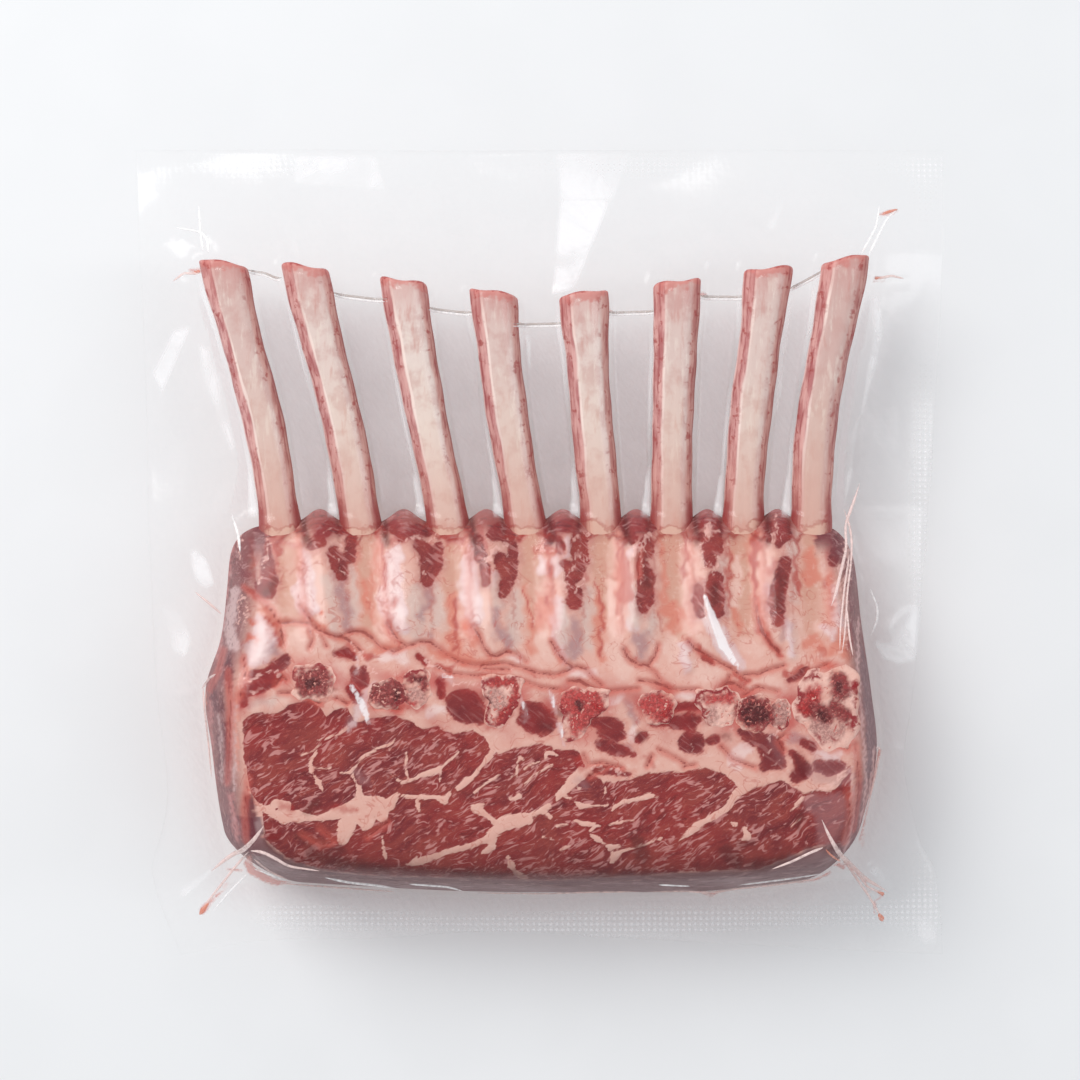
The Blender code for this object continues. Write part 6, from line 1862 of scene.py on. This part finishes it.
# Painted highlight and glare: the glare panels and streaks, and the pale lines beside the bones.
glare_share = between(tree, noise(tree, place, 0.05, 3.0, 0.55, 0.6), 0.38, 0.62, 0.1, 0.5)
glare_panel = times(tree, between(tree, noted(tree, "glare_panel"), -0.7, 1.4), glare_share)
# Painted glints: white studs on the embossed bands.
embossed_glints = between(tree, times(tree, diamonds, noted(tree, "glint_band")), 0.05, 0.6, 0.0, 0.4)
glare_streak_edge = {"Vector": place, "Depth": noted(tree, "glare_streak"), "Wander": 0.5, "Size": 0.4, "Softness": 0.35}
glare_streak = place_group(tree, ragged_edge, glare_streak_edge)["Mask"]
bone_side_highlight = times(tree, noted(tree, "bone_side_highlight"), 0.5)
white = maths(tree, "MAXIMUM", glare_panel, times(tree, glare_streak, 0.65))
white = maths(tree, "MAXIMUM", maths(tree, "MAXIMUM", white, bone_side_highlight), embossed_glints)
juice_edge = {"Vector": place, "Depth": noted(tree, "juice"), "Wander": 0.7, "Size": 0.5, "Softness": 0.5}
juice = times(tree, place_group(tree, ragged_edge, juice_edge)["Mask"], 0.6)
shade_veil = times(tree, noted(tree, "shade_veil"), between(tree, streaky, 0.3, 0.7, 0.85, 1.1))
haze = maths(tree, "MAXIMUM", maths(tree, "MAXIMUM", shade_veil, white), juice)
whiter = between(tree, maths(tree, "SUBTRACT", white, shade_veil), -0.02, 0.02)
# The veil's grey-mauve is painted shade, the white is painted highlight and glare, and the orange is juice.
haze_colour = tint(tree, whiter, srgb(250, 248, 249), srgb(214, 198, 199))
haze_colour = tint(tree, maths(tree, "GREATER_THAN", juice, 0.02), srgb(208, 118, 104), haze_colour)
tree.links.new(haze_colour, haze_shader.inputs["Base Color"])
haze_shader.inputs["Roughness"].default_value = 0.3
tree.links.new(bump, haze_shader.inputs["Normal"])
mirror = {"Base Color": (1, 1, 1, 1), "Metallic": 1.0, "Roughness": 0.14, "Normal": bump}
gloss_shader = add(tree, "BsdfPrincipled", mirror)
fresnel = add(tree, "Fresnel", {"IOR": 1.5, "Normal": bump}).outputs[0]
clear = add(tree, "BsdfTransparent")
shine = maths(tree, "MINIMUM", times(tree, fresnel, 0.42), 0.07)
glossy_film = add(tree, "MixShader", {0: shine, 1: clear.outputs[0], 2: gloss_shader.outputs[0]})
hazy_film = add(tree, "MixShader", {0: haze, 1: glossy_film.outputs[0], 2: haze_shader.outputs[0]})
bounced = add(tree, "LightPath").outputs["Is Diffuse Ray"]
for_bounces = add(tree, "MixShader", {0: bounced, 1: hazy_film.outputs[0], 2: clear.outputs[0]})
let_light_through(tree, for_bounces.outputs[0], clear.outputs[0])
film.data.materials.append(film_finish)

under_finish, tree, shader = new_material("clear_film_below")
shader.inputs["Base Color"].default_value = srgb(240, 236, 236)
shader.inputs["Roughness"].default_value = 0.2
see_through = add(tree, "BsdfTransparent").outputs[0]
lower_haze = between(tree, noise(tree, in_mm(tree), 0.1, 2.0), 0.36, 0.64, 0.03, 0.09)
lower_film = add(tree, "MixShader", {0: lower_haze, 1: see_through, 2: shader.outputs[0]})
let_light_through(tree, lower_film.outputs[0], see_through)
film.data.materials.append(under_finish)
corners_of_face = np.zeros(len(film.data.loops), dtype=np.int32)
film.data.loops.foreach_get("vertex_index", corners_of_face)
lower_face = (~upper_film)[corners_of_face].reshape(-1, 4).all(axis=1)
film.data.polygons.foreach_set("material_index", lower_face.astype(np.int32))

fold_finish, tree, shader = new_material("folded_film")
fold_colour, _ = painted(tree, "fold_tint")
fold_streaks = noise(tree, in_mm(tree), 0.6, 3.0, 0.6)
tree.links.new(fold_colour, shader.inputs["Base Color"])
shader.inputs["Roughness"].default_value = 0.25
see_through = add(tree, "BsdfTransparent").outputs[0]
fold_share = between(tree, fold_streaks, 0.3, 0.65, 0.35, 0.8)
fold_mix = add(tree, "MixShader", {0: fold_share, 1: see_through, 2: shader.outputs[0]})
let_light_through(tree, fold_mix.outputs[0], see_through)
film_creases.data.materials.append(fold_finish)
print("film material:", len(tree.nodes), "nodes")

# %% [markdown]
# Every piece rides on the one body of the pack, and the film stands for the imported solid. The floor is
# plain and pale; a large soft lamp at the upper left gives the shine on the film and the soft shadow at
# the lower right.

# %% Ride, floor, lights and camera
for piece in [meat, *ribs, *chine_bones, film, film_creases]:
    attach(piece, "root")
for clear_piece in (film, film_creases):
    clear_piece.visible_shadow = clear_piece.visible_diffuse = False
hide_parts("sealed_pack")

deselect_all()
bpy.ops.mesh.primitive_plane_add(size=6.0, location=(0, 0, 0))
floor = bpy.context.object
floor.name = "floor"
floor_finish, tree, shader = new_material("pale_floor")
paper = between(tree, noise(tree, in_mm(tree), 0.02, 2.0), 0.4, 0.6)
floor_colour = tint(tree, paper, (0.80, 0.805, 0.81, 1), (0.79, 0.795, 0.80, 1))
tree.links.new(floor_colour, shader.inputs["Base Color"])
shader.inputs["Roughness"].default_value = 0.7
floor.data.materials.append(floor_finish)


def soft_lamp(name, place, size, power, colour):
    lamp = bpy.data.lights.new(name, "AREA")
    lamp.shape, lamp.size, lamp.size_y = "RECTANGLE", *size
    lamp.energy, lamp.color = power, colour
    holder = bpy.data.objects.new(name, lamp)
    holder.location = place
    holder.rotation_euler = (-holder.location).to_track_quat("-Z", "Y").to_euler()
    holder.visible_camera = False
    bpy.context.scene.collection.objects.link(holder)


soft_lamp("window_light", (-0.95, 0.95, 1.35), (1.1, 1.1), 23.0, (1.0, 0.985, 0.97))
soft_lamp("side_light", (1.3, 0.1, 1.0), (0.3, 1.2), 3.4, (0.97, 0.98, 1.0))

scene = bpy.context.scene
scene.world = bpy.data.worlds.new("studio")
scene.world.use_nodes = True
sky = scene.world.node_tree.nodes["Background"].inputs
sky["Color"].default_value = (0.93, 0.96, 1.0, 1)
sky["Strength"].default_value = 0.66
scene.view_settings.view_transform = "Standard"
scene.cycles.transparent_max_bounces = 12
scene.cycles.max_bounces = 4

camera = bpy.data.objects.new("camera", bpy.data.cameras.new("camera"))
camera.location = (0.00015, 0.0038, 1.6)
camera.data.lens, camera.data.sensor_width = 171.3, 36.0
scene.collection.objects.link(camera)
scene.camera = camera
print("lamps and camera in place")
